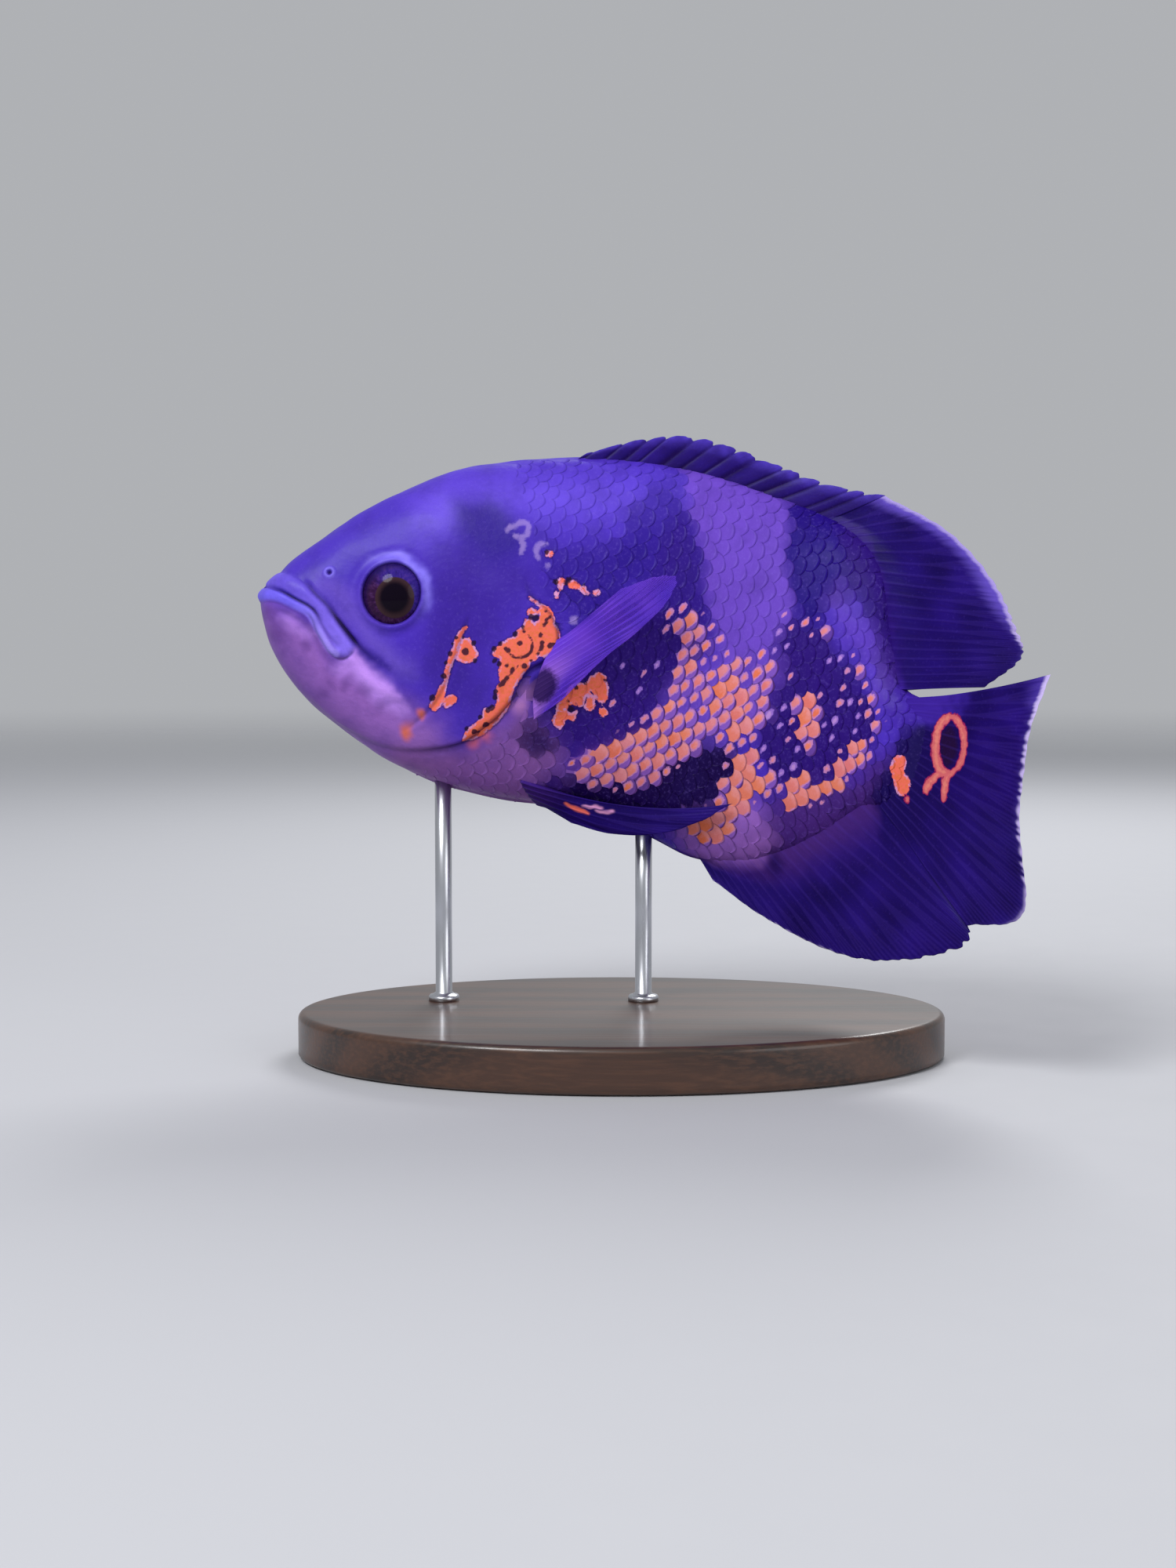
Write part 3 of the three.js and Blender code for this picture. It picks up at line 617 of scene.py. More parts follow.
gillMark = [
    [78.7, 17.4], [79.5, 17.4], [81.2, 16.7], [82.7, 16.2], [84.5, 15.9], [85.9, 14.8], [86.9, 13.6],
    [88, 11.4], [89.4, 9.8], [90.2, 8.1], [89.8, 6.5], [88.8, 5.4], [88.2, 3.4], [87.2, 2], [85.6, 1.9],
    [84.7, 0.9], [83.7, -0.3], [83.1, -2.3], [82, -4.8], [81, -7.4], [80.4, -10.7], [80.2, -14.4],
    [79, -17.9], [76.4, -22.1], [73.2, -25.6], [69.6, -27.6], [69.4, -26.3], [69.9, -24], [70.7, -22.8],
    [72.2, -21.1], [73.4, -19.2], [73.1, -18.2], [73.6, -16.7], [75.3, -16.7], [76.4, -15.4], [76.7, -13.8],
    [76.2, -11.8], [75.5, -9.9], [76.4, -8.4], [75.8, -6.9], [75.1, -5], [75.2, -2.8], [74.2, -1.4],
    [71.9, -0.9], [72.7, 0.7], [74, 2.6], [75.9, 4.5], [77.9, 5.6], [77.7, 7.1], [78.8, 8.4], [79.3, 9.9],
    [79.5, 10.9], [80.6, 11.2], [81.9, 10.3], [82.9, 11.6], [83.2, 12.6], [82.4, 14], [83, 15.2],
    [81.5, 15.8],
]
gillLobe = [[79.4, 13.4], [80.4, 14.4], [81.9, 13.8], [81.9, 13], [80.4, 12.5], [79.5, 12.5]]
gillArc = [
    [81, 6.7], [82.5, 5.5], [83, 3.9], [83, 2.4], [81.9, 0.9], [80.1, -0.1], [78.1, -0.2], [76.6, 0.5],
]
cheekLine = [
    [62.2, 4.7], [61.2, 2.9], [60.8, 1], [60.7, -2.2], [60.2, -5], [59.8, -8.7], [60, -11.7], [59.4, -14],
]
cheekPatch = [
    [62.1, 0.9], [63.7, 1.6], [65.6, 0.1], [67.5, -1.8], [66.9, -3.8], [65.1, -5], [63.2, -5], [61.8, -4.6],
    [61.8, -2],
]
cheekTail = [
    [59.9, -11.9], [60.4, -13.2], [60.6, -15.5], [60.2, -18.6], [58.9, -20.7], [57.1, -20], [57.9, -17.2],
    [59, -13.8],
]
cheekPink = [[62.5, -15.4], [64.4, -15.9], [63.4, -18], [61.8, -19.2], [60.8, -17.4]]
pectoralMarks = [
    [
        [95.6, -8.4], [96.1, -5.8], [97.4, -4.1], [100.7, -2.9], [101.2, -1.2], [103.8, 0.9], [105.4, 0.5],
        [105.6, -1.1], [106.8, -1.9], [107.4, -5.6], [106.4, -7.3], [104.8, -6.5], [103.7, -5.5],
        [102.7, -4.4], [101.9, -5], [101.2, -7], [101.1, -9.4], [99.4, -9.8], [99.2, -8.4], [98, -9.8],
        [97, -10.2], [96.3, -12.4], [94.6, -13], [94, -11],
    ],
    [
        [96.4, -12], [98.4, -12.6], [99.8, -11.6], [99.5, -14.2], [97.4, -14], [97, -15.8], [96, -17.6],
        [93.7, -15.9], [94.2, -14.1], [94.4, -12.6],
    ],
    [[102.4, -6], [103.4, -6.2], [104.4, -8.7], [103.4, -10.6], [101.9, -9.6], [102, -7.6]],
]
tailBlotch = [
    [204.2, -1.8], [206.2, -2.2], [206.3, -4.4], [206.6, -6.2], [208.6, -7.6], [209.2, -10.2],
    [207.8, -12.3], [205.6, -12], [204.6, -9.6], [203.6, -7.4], [202.6, -5.8], [202.9, -3.4],
]
tailSpot = [[209.4, -13.1, 0.9]]
blackDots = [  # [s, z, radius]
    [84.5, 14.7, 0.55], [85.9, 13.4, 0.5], [85.2, 12.1, 0.65], [84.9, 10.6, 0.55], [84.6, 7.7, 0.75],
    [85.5, 5.6, 0.7], [85.6, 4.6, 0.6], [87.9, 5.3, 0.85], [89, 5.8, 0.7], [85.7, 3.5, 0.5],
    [85.1, 2.2, 0.55], [80.6, 12, 0.85], [82.1, 12, 0.9], [78.9, 8.7, 0.6], [79.6, 7.5, 0.6],
    [77.2, 6.2, 0.9], [79.2, 3.9, 0.8], [76.3, 1.2, 0.8], [75.4, 1.4, 0.6], [73.5, 2.5, 0.7],
    [72, 0.6, 0.8], [73, -2.6, 0.8], [74.6, -3.2, 0.8], [77, -3.1, 0.6], [79, -3.8, 0.7], [78.9, -4.8, 0.6],
    [80.3, -2.6, 0.4], [82, -2.1, 0.85], [83.7, -0.2, 0.5], [77.8, -6.8, 0.8], [77, -8.1, 0.8],
    [76.3, -9.2, 0.6], [75.4, -11.1, 0.75], [75.6, -12.8, 0.75], [75.7, -15.9, 0.9], [74.6, -16.9, 0.8],
    [72.7, -19.4, 0.7], [69.4, -23.5, 0.7], [74.9, -21.4, 1], [72, -23.9, 0.9], [72.9, -23.9, 0.6],
    [63.8, -2.1, 1.05], [60, 1.2, 0.5], [59.5, -1, 0.45], [59.4, -3.7, 0.75], [58.9, -6.6, 0.6],
    [59, -10.5, 0.85], [57.2, -17.5, 0.95], [65.6, 0.9, 0.75], [67.3, -4, 0.7], [62.1, 1.8, 0.5],
    [97.9, -4.7, 0.8], [100.4, -2.9, 0.55], [105.8, -0.9, 0.6], [96.5, -9.1, 0.5], [98, -11.2, 0.9],
    [99, -11.2, 0.5], [80.7, 31.4, 0.8], [85.2, 23.6, 0.95], [88.7, 25.1, 0.9], [88.1, 24, 0.8],
    [93.3, 24.6, 0.6],
]
shoulderSpots = [
    [86.6, 24, 1], [86.8, 22.6, 0.7], [90, 24.1, 1.1], [91.2, 23.9, 0.7], [93.4, 23.3, 0.9],
    [94.6, 22.6, 0.6], [97.6, 23.2, 0.8], [86.4, 20.3, 0.6], [86.6, 19.3, 0.4], [81.5, 31, 0.9],
    [107.4, -9.9, 1.1],
]
whiteSpots = [[92.9, 14, 1.2], [81.7, 27.6, 0.7], [73.2, 29.4, 0.7]]
shoulderScrawls = [
    [
        [67.6, 34.6], [67.8, 35.8], [69.4, 36.6], [70.9, 38], [73, 38], [73.6, 36.4], [73.3, 34.5],
        [71.6, 33.8], [70, 34],
    ],
    [[71.4, 34], [72.4, 33], [73.4, 31.6], [73.2, 29.4]],
    [[78.7, 28.8], [77.5, 30.8], [78, 33], [79.9, 33.7]],
]


def lipTones(flat, colour):  # both lips grow paler towards the corner of the mouth
    for line, half, narrow, front, rear in (
        (upperLip, 3, 0, "lip", "lobe"), (lowerLip, 1.9, 0.33, "lowLip", "lobeEdge"),
    ):
        away, _, along = toLine(flat, line, 60)
        tone = toward(np.tile(palette[front][:3], (len(away), 1)), smooth(0.2, 0.95, along), palette[rear])
        reach = half * (1 - narrow * smooth(0.35, 0.6, along))
        colour += 0.9 * (1 - smooth(reach * 0.5, reach * 1.2, away))[:, None] * (tone - colour)
    return colour


def underpaint(p):  # the skin's colour at points of the straight fish, with painted highlights and shade
    flat = p[:, [0, 2]]
    place = flat + 1.3 * np.stack([wobble(p, 14), wobble(p, 17, 4)], 1)
    place += 0.5 * np.stack([wobble(p, 4, 2), wobble(p, 5, 7)], 1)
    colour = np.tile(np.array(palette["violet"][:3]), (len(p), 1))
    for name, soft, strength, outline in shades:
        amount = strength * smooth(-soft, soft, depthIn(place, outline, soft))
        colour = toward(colour, amount, palette[name])
    snout = p[:, 0] < 40
    colour[snout] = lipTones(flat[snout], colour[snout])
    # A painted highlight on the upper rear rim of the orbit
    off = place - eye["place"]
    away = np.hypot(*off.T)
    lit = dent(away - 10.6, 1.5) * smooth(-0.3, 0.9, off @ [0.5, 0.86] / np.maximum(away, 1))
    colour = toward(colour, 0.8 * lit, palette["glow"])
    # A painted highlight on the nostril's raised rim
    ring = dent(np.hypot(*(flat - nostril["place"]).T) - 1.3, 0.5)
    colour = toward(colour, 0.6 * ring, palette["glow"])
    for name, dots, strength in smudges:
        for s, z, radius in dots:
            away = np.hypot(place[:, 0] - s, place[:, 1] - z)
            colour = toward(colour, strength * (1 - smooth(0.1, 1.15, away / radius)), palette[name])
    return colour


def markDepths(p):  # mm inside the orange, black and pale marks
    place = p[:, [0, 2]] + 0.2 * np.stack([wobble(p, 2.2), wobble(p, 1.9, 5)], 1)
    orange, black, pale = (np.full(len(p), -9.0) for _ in range(3))
    near = (np.abs(place - [80, 4]) < [32, 42]).all(1)
    q = place[near]
    one = spots(q, shoulderSpots)
    for outline in [gillMark, gillLobe, cheekPatch, cheekTail, cheekPink] + pectoralMarks:
        one = np.maximum(one, depthIn(q, outline, 9, 5))
    orange[near] = np.maximum(one, stroke(q, cheekLine, 0.75, 0.35))
    black[near] = np.maximum(spots(q, blackDots), stroke(q, gillArc, 0.42))
    one = spots(q, whiteSpots)
    for line in shoulderScrawls:
        one = np.maximum(one, stroke(q, line, 0.75))
    pale[near] = one
    near = place[:, 0] > 188
    orange[near] = np.maximum(depthIn(place[near], tailBlotch, 9, 5), spots(place[near], tailSpot))
    return np.stack([orange, black, pale], 1)


# Head features, as lines on the side: [s, z]
gillEdge = [
    [76, 22], [79, 17.8], [85, 15], [88.6, 10.6], [89.8, 7], [88.4, 2], [83.6, -2.6], [82, -7],
    [80.6, -12.6], [77.8, -18], [74, -22.8], [70.1, -27.2], [65.8, -29.9], [61.5, -31.8], [57, -33.4],
    [52.2, -34.5], [47.4, -34.9], [42.5, -34.7], [37.4, -33.6], [32.8, -32.4], [28.6, -30.5], [23, -27.4],
    [17.7, -23.6],
]
cheekEdge = [
    [62.6, 10], [61.9, 4], [61.2, -3.4], [60.6, -10], [59.4, -15.6], [57.4, -20.6], [53.6, -26],
    [49.6, -30],
]
mouthLine = [
    [1.4, 2.2], [4.2, 2.5], [6.2, 2.3], [8.5, 1.7], [10.6, 1.1], [12.7, 0.6], [14.5, 0.1], [16.3, -0.7],
    [17.6, -1.7], [18.8, -2.9], [19.9, -4.2], [21.2, -5.6], [22.6, -7], [24.4, -8.5], [26.2, -9.8],
]
jawEdge = [
    [13.4, -1.6], [15.5, -2.6], [17, -4], [18, -5.6], [19.2, -7.3], [20.9, -9], [22.7, -10.8],
    [24.6, -12.2], [26.7, -12.9], [28.6, -12.4], [30.3, -10.6], [31.2, -8.9],
]
upperLip = [
    [2.9, 4.7], [5.2, 5.1], [8, 4.7], [10.9, 3.7], [13.8, 2.6], [16.8, 1], [20.1, -1.6], [23.5, -4.7],
    [26.3, -7.6], [28.1, -9.5],
]
lowerLip = [
    [0.8, -0.3], [2.1, 0.4], [4.1, 0.8], [6.4, 0.8], [8.7, 0.4], [10.8, -0.1], [12.9, -0.7], [14.8, -1.5],
    [16.3, -2.6], [17.7, -4.2], [18.9, -5.6], [20.4, -7.2], [22.1, -9], [23.9, -10.6], [26, -11.6],
]
lipGroove = [
    [10.6, 6.9], [13, 5.9], [14.5, 4.8], [16.6, 3.4], [19.3, 1.9], [21.4, 0.3], [23.6, -1.6], [25.8, -3.4],
    [28.1, -5.2], [30.3, -6.9], [31.9, -8.1], [33.9, -9.2], [36.9, -10.8], [42.8, -12.9], [47, -14.1],
]
chinFold = [[4, -3.4], [8, -3.6], [12, -4.6], [15.6, -6.2], [18.6, -8.8], [21, -12], [24, -14.6], [28, -16]]
eye = {
    "place": [38, 9.2], "radius": 9.3, "depth": 5.6, "sunk": 2.4, "rim": 9.75,
    "rings": 90, "around": 160,
}
nostril = {"place": [18.5, 10.9], "ring": 1.2}
headSettings = {  # how far each feature stands out or lies in, in mm
    "swell": 0.2, "gillProud": 1.3, "gillSlit": 0.5, "gillLine": 0.16, "jawRidge": 0.45,
    "upperLip": 1.0, "lowerLip": 0.9, "mouth": 1.4, "jawHollow": 0.5,
    "orbitRim": 0.85, "orbitFold": 0.22, "socket": 5.2, "nostrilRim": 0.45, "nostrilPit": 0.9,
    "scaleBed": 0.42,  # the skin sinks this much under the scales
}
folds = (  # line, depth, width, darkness of its painted shade, share over which it runs out, raised sides
    (cheekEdge, 0.4, 0.7, 0.45, 0.25, 0.3), (lipGroove, 0.95, 0.7, 0.75, 0.4, 0.3),
    (chinFold, 0.3, 0.9, 0.12, 0.3, 0.3), (jawEdge, 0.5, 0.5, 0.5, 0.12, 0),
)
eyeSpot = onSkin([eye["place"]])[0] * [1, -1, 1]
eyeOut = outward(*skinPlace([eye["place"]]), np.array([-1.0]))[0] * [1, -1, 1]
nostrilSpot = onSkin([nostril["place"]])[0] * [1, -1, 1]
scaleFront = [
    [40, 60], [58, 56], [64, 48], [70, 38], [75.6, 28], [78, 21], [85, 17], [90, 12], [91, 7], [89.6, 1],
    [84.6, -4], [82.4, -9], [81, -14], [78, -20], [74, -25], [70, -29], [64, -33], [56, -37], [50, -46],
]


def dent(distance, width):  # a round hollow or swelling: 1 in its middle
    return np.exp(-(distance / width) ** 2)


def softShape(p):  # slow swells of flesh, which the scales follow too
    return headSettings["swell"] * wobble(p, 19, 3) * smooth(8, 20, p[:, 0])


def behindFront(p):  # mm behind the line where the scales begin
    away, sign, _ = toLine(p[:, [0, 2]], scaleFront, 140)
    return away * sign


def gillCover(q, flat):  # proud along its rear edge, with the slit and its painted shade behind it
    d, sign, along = toLine(flat, gillEdge, 160)
    behind = d * sign
    fade = (1 - smooth(12, 24, flat[:, 1])) * (1 - smooth(0.93, 1, along))
    fade *= 1 - 0.75 * smooth(0.45, 0.75, along)
    rise = headSettings["gillProud"] * dent(d, 11) * (1 - smooth(-0.6, 0.2, behind))
    rise -= headSettings["gillSlit"] * dent(behind - 0.8, 1.0)
    rise -= headSettings["gillLine"] * dent(behind + 3.4, 0.8) * (1 - smooth(0.4, 0.5, along))
    return rise * fade, 0.8 * dent(behind - 0.35, 0.6) * fade


def headFolds(q, flat):  # cheek edge, lip folds and jaw ridge, with painted shade in the folds
    rise, dark = headSettings["jawRidge"] * smooth(-1.6, 1.6, depthIn(flat, jawRidge, 3)), 0
    for line, depth, width, shade, fade, sides in folds:
        d, _, along = toLine(flat, line, 110)
        ends = smooth(0, 0.15, along) * (1 - smooth(1 - fade, 1, along))
        rise += depth * (sides * dent(d - 1.6, 1.0) - dent(d, width)) * ends
        dark = dark + shade * dent(d, width * 0.7) * ends
    d, _, along = toLine(flat, lipGroove, 110)  # groove and painted shade deepest behind the jaw's end
    rear = smooth(0.32, 0.48, along) * (1 - smooth(0.62, 0.72, along))
    rise -= headSettings["jawHollow"] * dent(d, 0.6) * rear
    return rise, dark + 0.6 * dent(d, 0.75) * rear


def lips(q, flat):  # two rolls of flesh and the slit between them, with painted shade in the slit
    rise = 0
    for line, proud, half, fullness in (
        (upperLip, headSettings["upperLip"], 2.8, 0.7), (lowerLip, headSettings["lowerLip"], 2.4, 1.3),
    ):
        d, _, along = toLine(q, laid(line), 110)
        rise = rise + proud * np.clip(1 - (d / half) ** 2, 0, 1) ** fullness * (1 - 0.25 * along)
    d, _, along = toLine(q, laid(mouthLine), 140)
    corner = smooth(0.5, 0.72, along)
    deep = (0.2 + 0.8 * smooth(1, 6, flat[:, 0])) * (1 - 0.7 * corner)
    dark = (0.5 + 0.5 * smooth(3, 9, flat[:, 0])) * (1 - 0.6 * corner) * (1 - smooth(0.85, 1, along))
    return rise - headSettings["mouth"] * dent(d, 0.55) * deep, dark * dent(d, 0.42)


def orbit(q, flat):  # the socket and its raised rim, with painted shade in the socket
    d = np.sqrt(((q - eyeSpot) ** 2).sum(1))
    rise = headSettings["orbitRim"] * dent(d - eye["rim"], 1.0)
    rise -= headSettings["orbitFold"] * dent(d - 12.6, 1.2)
    rise -= headSettings["socket"] * (1 - smooth(7.6, 9.1, d))
    return rise, 0.75 * (1 - smooth(8.5, 9.6, d))


# the nostril's raised rim and its pit, with painted shade in the pit
def nostrilPit(q, flat):
    d = np.sqrt(((q - nostrilSpot) ** 2).sum(1))
    rise = headSettings["nostrilRim"] * dent(d - nostril["ring"], 0.5)
    rise -= headSettings["nostrilPit"] * (1 - smooth(0.3, 0.95, d))
    return rise, 0.6 * (1 - smooth(0.4, 0.9, d))


def relief(p):  # how far the head's features raise the skin, and the painted shade in their folds
    lift, fold = softShape(p), np.zeros(len(p))
    head = p[:, 0] < 112
    q = p[head] * [1, 0, 1] + np.abs(p[head]) * [0, 1, 0]
    for feature in (gillCover, headFolds, lips, orbit, nostrilPit):
        rise, dark = feature(q, q[:, [0, 2]])
        lift[head] += rise
        fold[head] += dark
    lift -= headSettings["scaleBed"] * smooth(-3, 9, behindFront(p)) * (1 - smooth(202, 208, p[:, 0]))
    return lift, np.clip(fold, 0, 1.5)


# Skin: one sheet from the snout to the tail's root
skinSettings = {"around": 296, "rings": 330, "samples": 4000, "headRing": 7.5}


def evenSplit(lengths, count, values):  # values at even steps of a running length
    run = np.concatenate([[0], np.cumsum(lengths)])
    return np.interp(np.linspace(0, run[-1], count), run, values)


def stepsOf(points):
    return np.linalg.norm(np.diff(points, axis=0), axis=1)


def evenLeans(count):  # leans that split a half ring evenly, with shorter steps on the flank
    lean = np.linspace(-np.pi / 2, np.pi / 2, skinSettings["samples"] // 2)
    p = onBody(np.full(len(lean), skinSettings["headRing"]), lean, -1.0)
    weight = 1 - 0.45 * smooth(0.75, 1.2, np.abs(lean[1:]))
    return evenSplit(stepsOf(p) * weight, count, lean)


def evenRings(count):  # rings close together on the head and wider apart under the scales
    ring = np.linspace(0, lastRing, skinSettings["samples"])
    leans = (-backLean, -0.6, 0.0, 0.6, backLean)
    lines = [onBody(ring, np.full(len(ring), lean), -1.0) for lean in leans]
    step = np.max([stepsOf(p) for p in lines], axis=0)
    stations, shares = [0, 35, 55, 92, 102, 120, 200, bodyEnd], [1, 0.9, 1, 1, 0.5, 0.26, 0.26, 0.8]
    return evenSplit(step * np.interp(lines[2][1:, 0], stations, shares), count + 1, ring)[1:]


def buildSkin():
    half = skinSettings["around"] // 2 + 1
    leans = evenLeans(half)
    leans = np.concatenate([leans, leans[::-1][1:-1]])
    sides = np.concatenate([np.full(half, -1.0), np.full(half - 2, 1.0)])
    ring, lean = np.meshgrid(evenRings(skinSettings["rings"]), leans, indexing="ij")
    side = np.broadcast_to(sides, ring.shape)
    p = onBody(ring, lean, side).reshape(-1, 3)
    out = outward(ring, lean, side).reshape(-1, 3)
    middle = np.abs(np.abs(lean.ravel()) - np.pi / 2) < 1e-6
    p[middle, 1] = out[middle, 1] = 0
    lift, fold = relief(p)
    raised = p + unit(out) * lift[:, None]
    n, m = ring.shape
    ends = np.array([[0.45, 0, -0.5], raised[-m:].mean(0)])
    points = swim(np.vstack([raised, ends]))
    piece = makeMesh("oscar_skin", points, [gridFaces(n, m, True)], [capFaces(n, m)])
    place = np.vstack([p, ends])
    paint(piece, "place", place)
    paint(piece, "under", withAlpha(underpaint(place)))
    paint(piece, "marks", markDepths(place))
    paint(piece, "fold", np.concatenate([fold, [0, 0]]))
    return piece


def markedColour(look, place, colour, marks):  # lays the orange, black and pale marks on it
    orange, black, pale = look.parts(marks)
    ragged = look.noise(place, 0.8) * 1.1 + look.noise(place, 2.4) * 0.5 - 0.8
    fringe = look.mix(look.noise(place, 0.45).step(0.42, 0.58), palette["coral"], palette["blush"])
    glow = look.mix(look.noise(place, 1.1).step(0.42, 0.66), palette["coral"], palette["orange"])
    return look.layered(
        colour,
        ((pale + ragged).step(-0.6, 0.4) * 0.4, palette["pale"]),
        ((orange + ragged).step(-0.9, -0.4) * 0.55, tint(40, 12, 84)),
        ((orange + ragged).step(-0.4, -0.1), fringe),
        ((orange + ragged * 1.4).step(0.1, 0.6), glow),
        ((black + ragged * 0.5).step(-0.22, 0.14) * 0.92, palette["dot"]),
    )


skin = buildSkin()
print("skin", len(skin.data.polygons), "faces")
skinLook = Finish("skin", specularIorLevel=0.1, coatWeight=0.05, coatRoughness=0.22)
place = skinLook.kept("place", "Vector")
colour = skinLook.kept("under", "Color")
mottle = skinLook.noise(place, 0.13, 4)
fine = skinLook.noise(place, 1.1, 4)
speck = skinLook.noise(place, 3.2, 2)
colour = skinLook.layered(
    colour,
    (mottle.step(0.4, 0.75) * 0.28, tint(46, 28, 118)),
    (fine.step(0.5, 0.9) * 0.16, tint(140, 114, 230)),
    (speck.step(0.55, 0.8) * 0.18, tint(34, 20, 96)),
)
colour = markedColour(skinLook, place, colour, skinLook.kept("marks", "Vector"))
# Painted shade in the head's creases, slits and hollows
colour = skinLook.mix(skinLook.kept("fold").clamped() * 0.92, colour, tint(26, 12, 58))
pebble = skinLook.cells(place, 0.62, (0.7, 1, 1))
height = pebble * -0.5 + skinLook.noise(place, 2.4) * 0.35
skinLook.set(baseColor=colour, roughness=fine * 0.3 + 0.3, normal=skinLook.bump(height, 0.0003, 0.5))
wear(skin, skinLook)
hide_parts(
    "head", "lower_jaw", "upper_lip", "lower_lip", "gill_cover_left", "gill_cover_right", "torso",
    "tail_stalk",
)


# Scales: plates that overlap towards the tail, in staggered rows along the body
scaleSettings = {
    "pitch": 7.4, "row": 2.65,  # spacing along a row, and between rows
    "length": 4.5, "height": 3.7, "thick": 0.13,  # half length and half height
    "front": -0.26, "rear": 0.09,  # how far a scale's two ends lie over the skin
    "first": 52.0, "last": 212, "until": 209, "rows": (-30, 34),
    "cells": 8, "seed": 7,
}
mapRings = np.linspace(0.3, lastRing, 460)
mapLeans = np.linspace(0, 1, 240) * np.pi / 2
ringGrid, leanGrid = np.meshgrid(mapRings, mapLeans, indexing="ij")


def arcTable(sign):  # lean by ring and by share of the way round from the widest line
    p = onBody(ringGrid, leanGrid * sign, -1.0)
    run = np.linalg.norm(np.diff(p, axis=1), axis=2).cumsum(1)
    run = np.hstack([np.zeros((len(run), 1)), run])
    share = np.linspace(0, 1, len(mapLeans))
    return np.array([np.interp(share, r / r[-1], mapLeans * sign) for r in run]), run[:, -1]


leanUp, reachUp = arcTable(1)
leanDown, reachDown = arcTable(-1)
midS = onBody(mapRings, mapRings * 0, -1.0)[:, 0]


def atStation(s, table):  # a value kept for each of the map's rings, at a station s
    rows = np.arange(len(mapRings))
    return np.interp(np.interp(s, midS, rows), rows, table)


def onArc(s, a, side):  # ring, lean and side at a length a round from the widest line
    i = np.interp(s, midS, np.arange(len(mapRings)))
    share = np.abs(a) / np.where(a > 0, atStation(s, reachUp), atStation(s, reachDown))
    side = np.where(share > 1, -side, side)
    share = np.where(share > 1, 2 - share, share)
    j = np.clip(share, 0, 1) * (len(mapLeans) - 1)
    i0 = np.clip(i.astype(int), 0, len(mapRings) - 2)
    j0 = np.clip(j.astype(int), 0, len(mapLeans) - 2)
    fi, fj = i - i0, j - j0

    def lookUp(table):
        low = table[i0, j0] * (1 - fj) + table[i0, j0 + 1] * fj
        high = table[i0 + 1, j0] * (1 - fj) + table[i0 + 1, j0 + 1] * fj
        return low * (1 - fi) + high * fi

    return atStation(s, mapRings), np.where(a > 0, lookUp(leanUp), lookUp(leanDown)), side


def growth(s):  # scales shrink towards the tail
    return np.interp(s, [50, 80, 150, 180, 205, bodyEnd], [0.8, 1, 1, 0.92, 0.74, 0.7])


def scaleRoots():  # [s, a] of every scale of one side, in staggered rows
    stations = [scaleSettings["first"]]
    while stations[-1] < scaleSettings["last"]:
        stations.append(stations[-1] + scaleSettings["pitch"] / 2 * growth(stations[-1]))
    stations = np.array(stations)
    roots = []
    for row in range(*scaleSettings["rows"]):
        s = stations[row % 2::2]
        a = row * scaleSettings["row"] * growth(s)
        keep = (a < atStation(s, reachUp) - 0.6) & (a > 0.6 - atStation(s, reachDown))
        roots.append(np.stack([s, a], 1)[keep])
    return np.vstack(roots)


def scaleOutline(n):  # a rounded square of n by n points from -1 to 1, and its rim
    x, y = np.meshgrid(np.linspace(-1, 1, n), np.linspace(-1, 1, n), indexing="ij")
    at = np.arange(n * n).reshape(n, n)
    rim = np.concatenate([at[:-1, 0], at[-1, :-1], at[:0:-1, -1], at[0, :0:-1]])
    return (x * np.sqrt(1 - y * y / 2)).ravel(), (y * np.sqrt(1 - x * x / 2)).ravel(), rim


def scaleFaces(n, rim, count, flip):  # the top, the skirt and the underside's fan of every scale
    each = n * n + len(rim) + 1
    low = n * n + np.arange(len(rim))
    after = np.roll(np.arange(len(rim)), -1)
    top = gridFaces(n, n)[:, ::-1]
    skirt = np.stack([rim, rim[after], low[after], low], 1)
    fan = np.stack([low, low[after], np.full(len(rim), each - 1)], 1)
    move = (np.arange(count) * each)[:, None, None]
    turned = [faces[:, ::-1] if flip else faces for faces in (top, skirt, fan)]
    return [(faces[None] + move).reshape(-1, faces.shape[1]) for faces in turned]


def scaleMarks(place, rand):  # how large each scale's own mark has grown, and how warm it is
    grown, hue = np.zeros(len(place)), 0.75 + 0.25 * rand[:, 4]
    for strength, soft, outline in orangeFields:
        depth = depthIn(place, outline, 6)
        here = strength * (0.5 + 0.5 * smooth(-soft, soft, depth)) * smooth(-soft - 1, -0.2 * soft, depth)
        here *= 0.55 + 0.65 * rand[:, 5]
        bare = (depth < 0.8) & (rand[:, 2] < 0.3) & (strength < 1.2)
        grown = np.maximum(grown, np.where(bare, 0, here))
    for share, outline in dotFields:
        dotted = (depthIn(place, outline, 2) > 0) & (rand[:, 3] < share) & (grown < 0.3)
        grown = np.where(dotted, 0.32 + 0.34 * rand[:, 0] ** 2, grown)
        hue = np.where(dotted, np.where(rand[:, 4] < 0.55, 0.15, 0.8), hue)
    return np.stack([grown, hue, rand[:, 0]], 1)


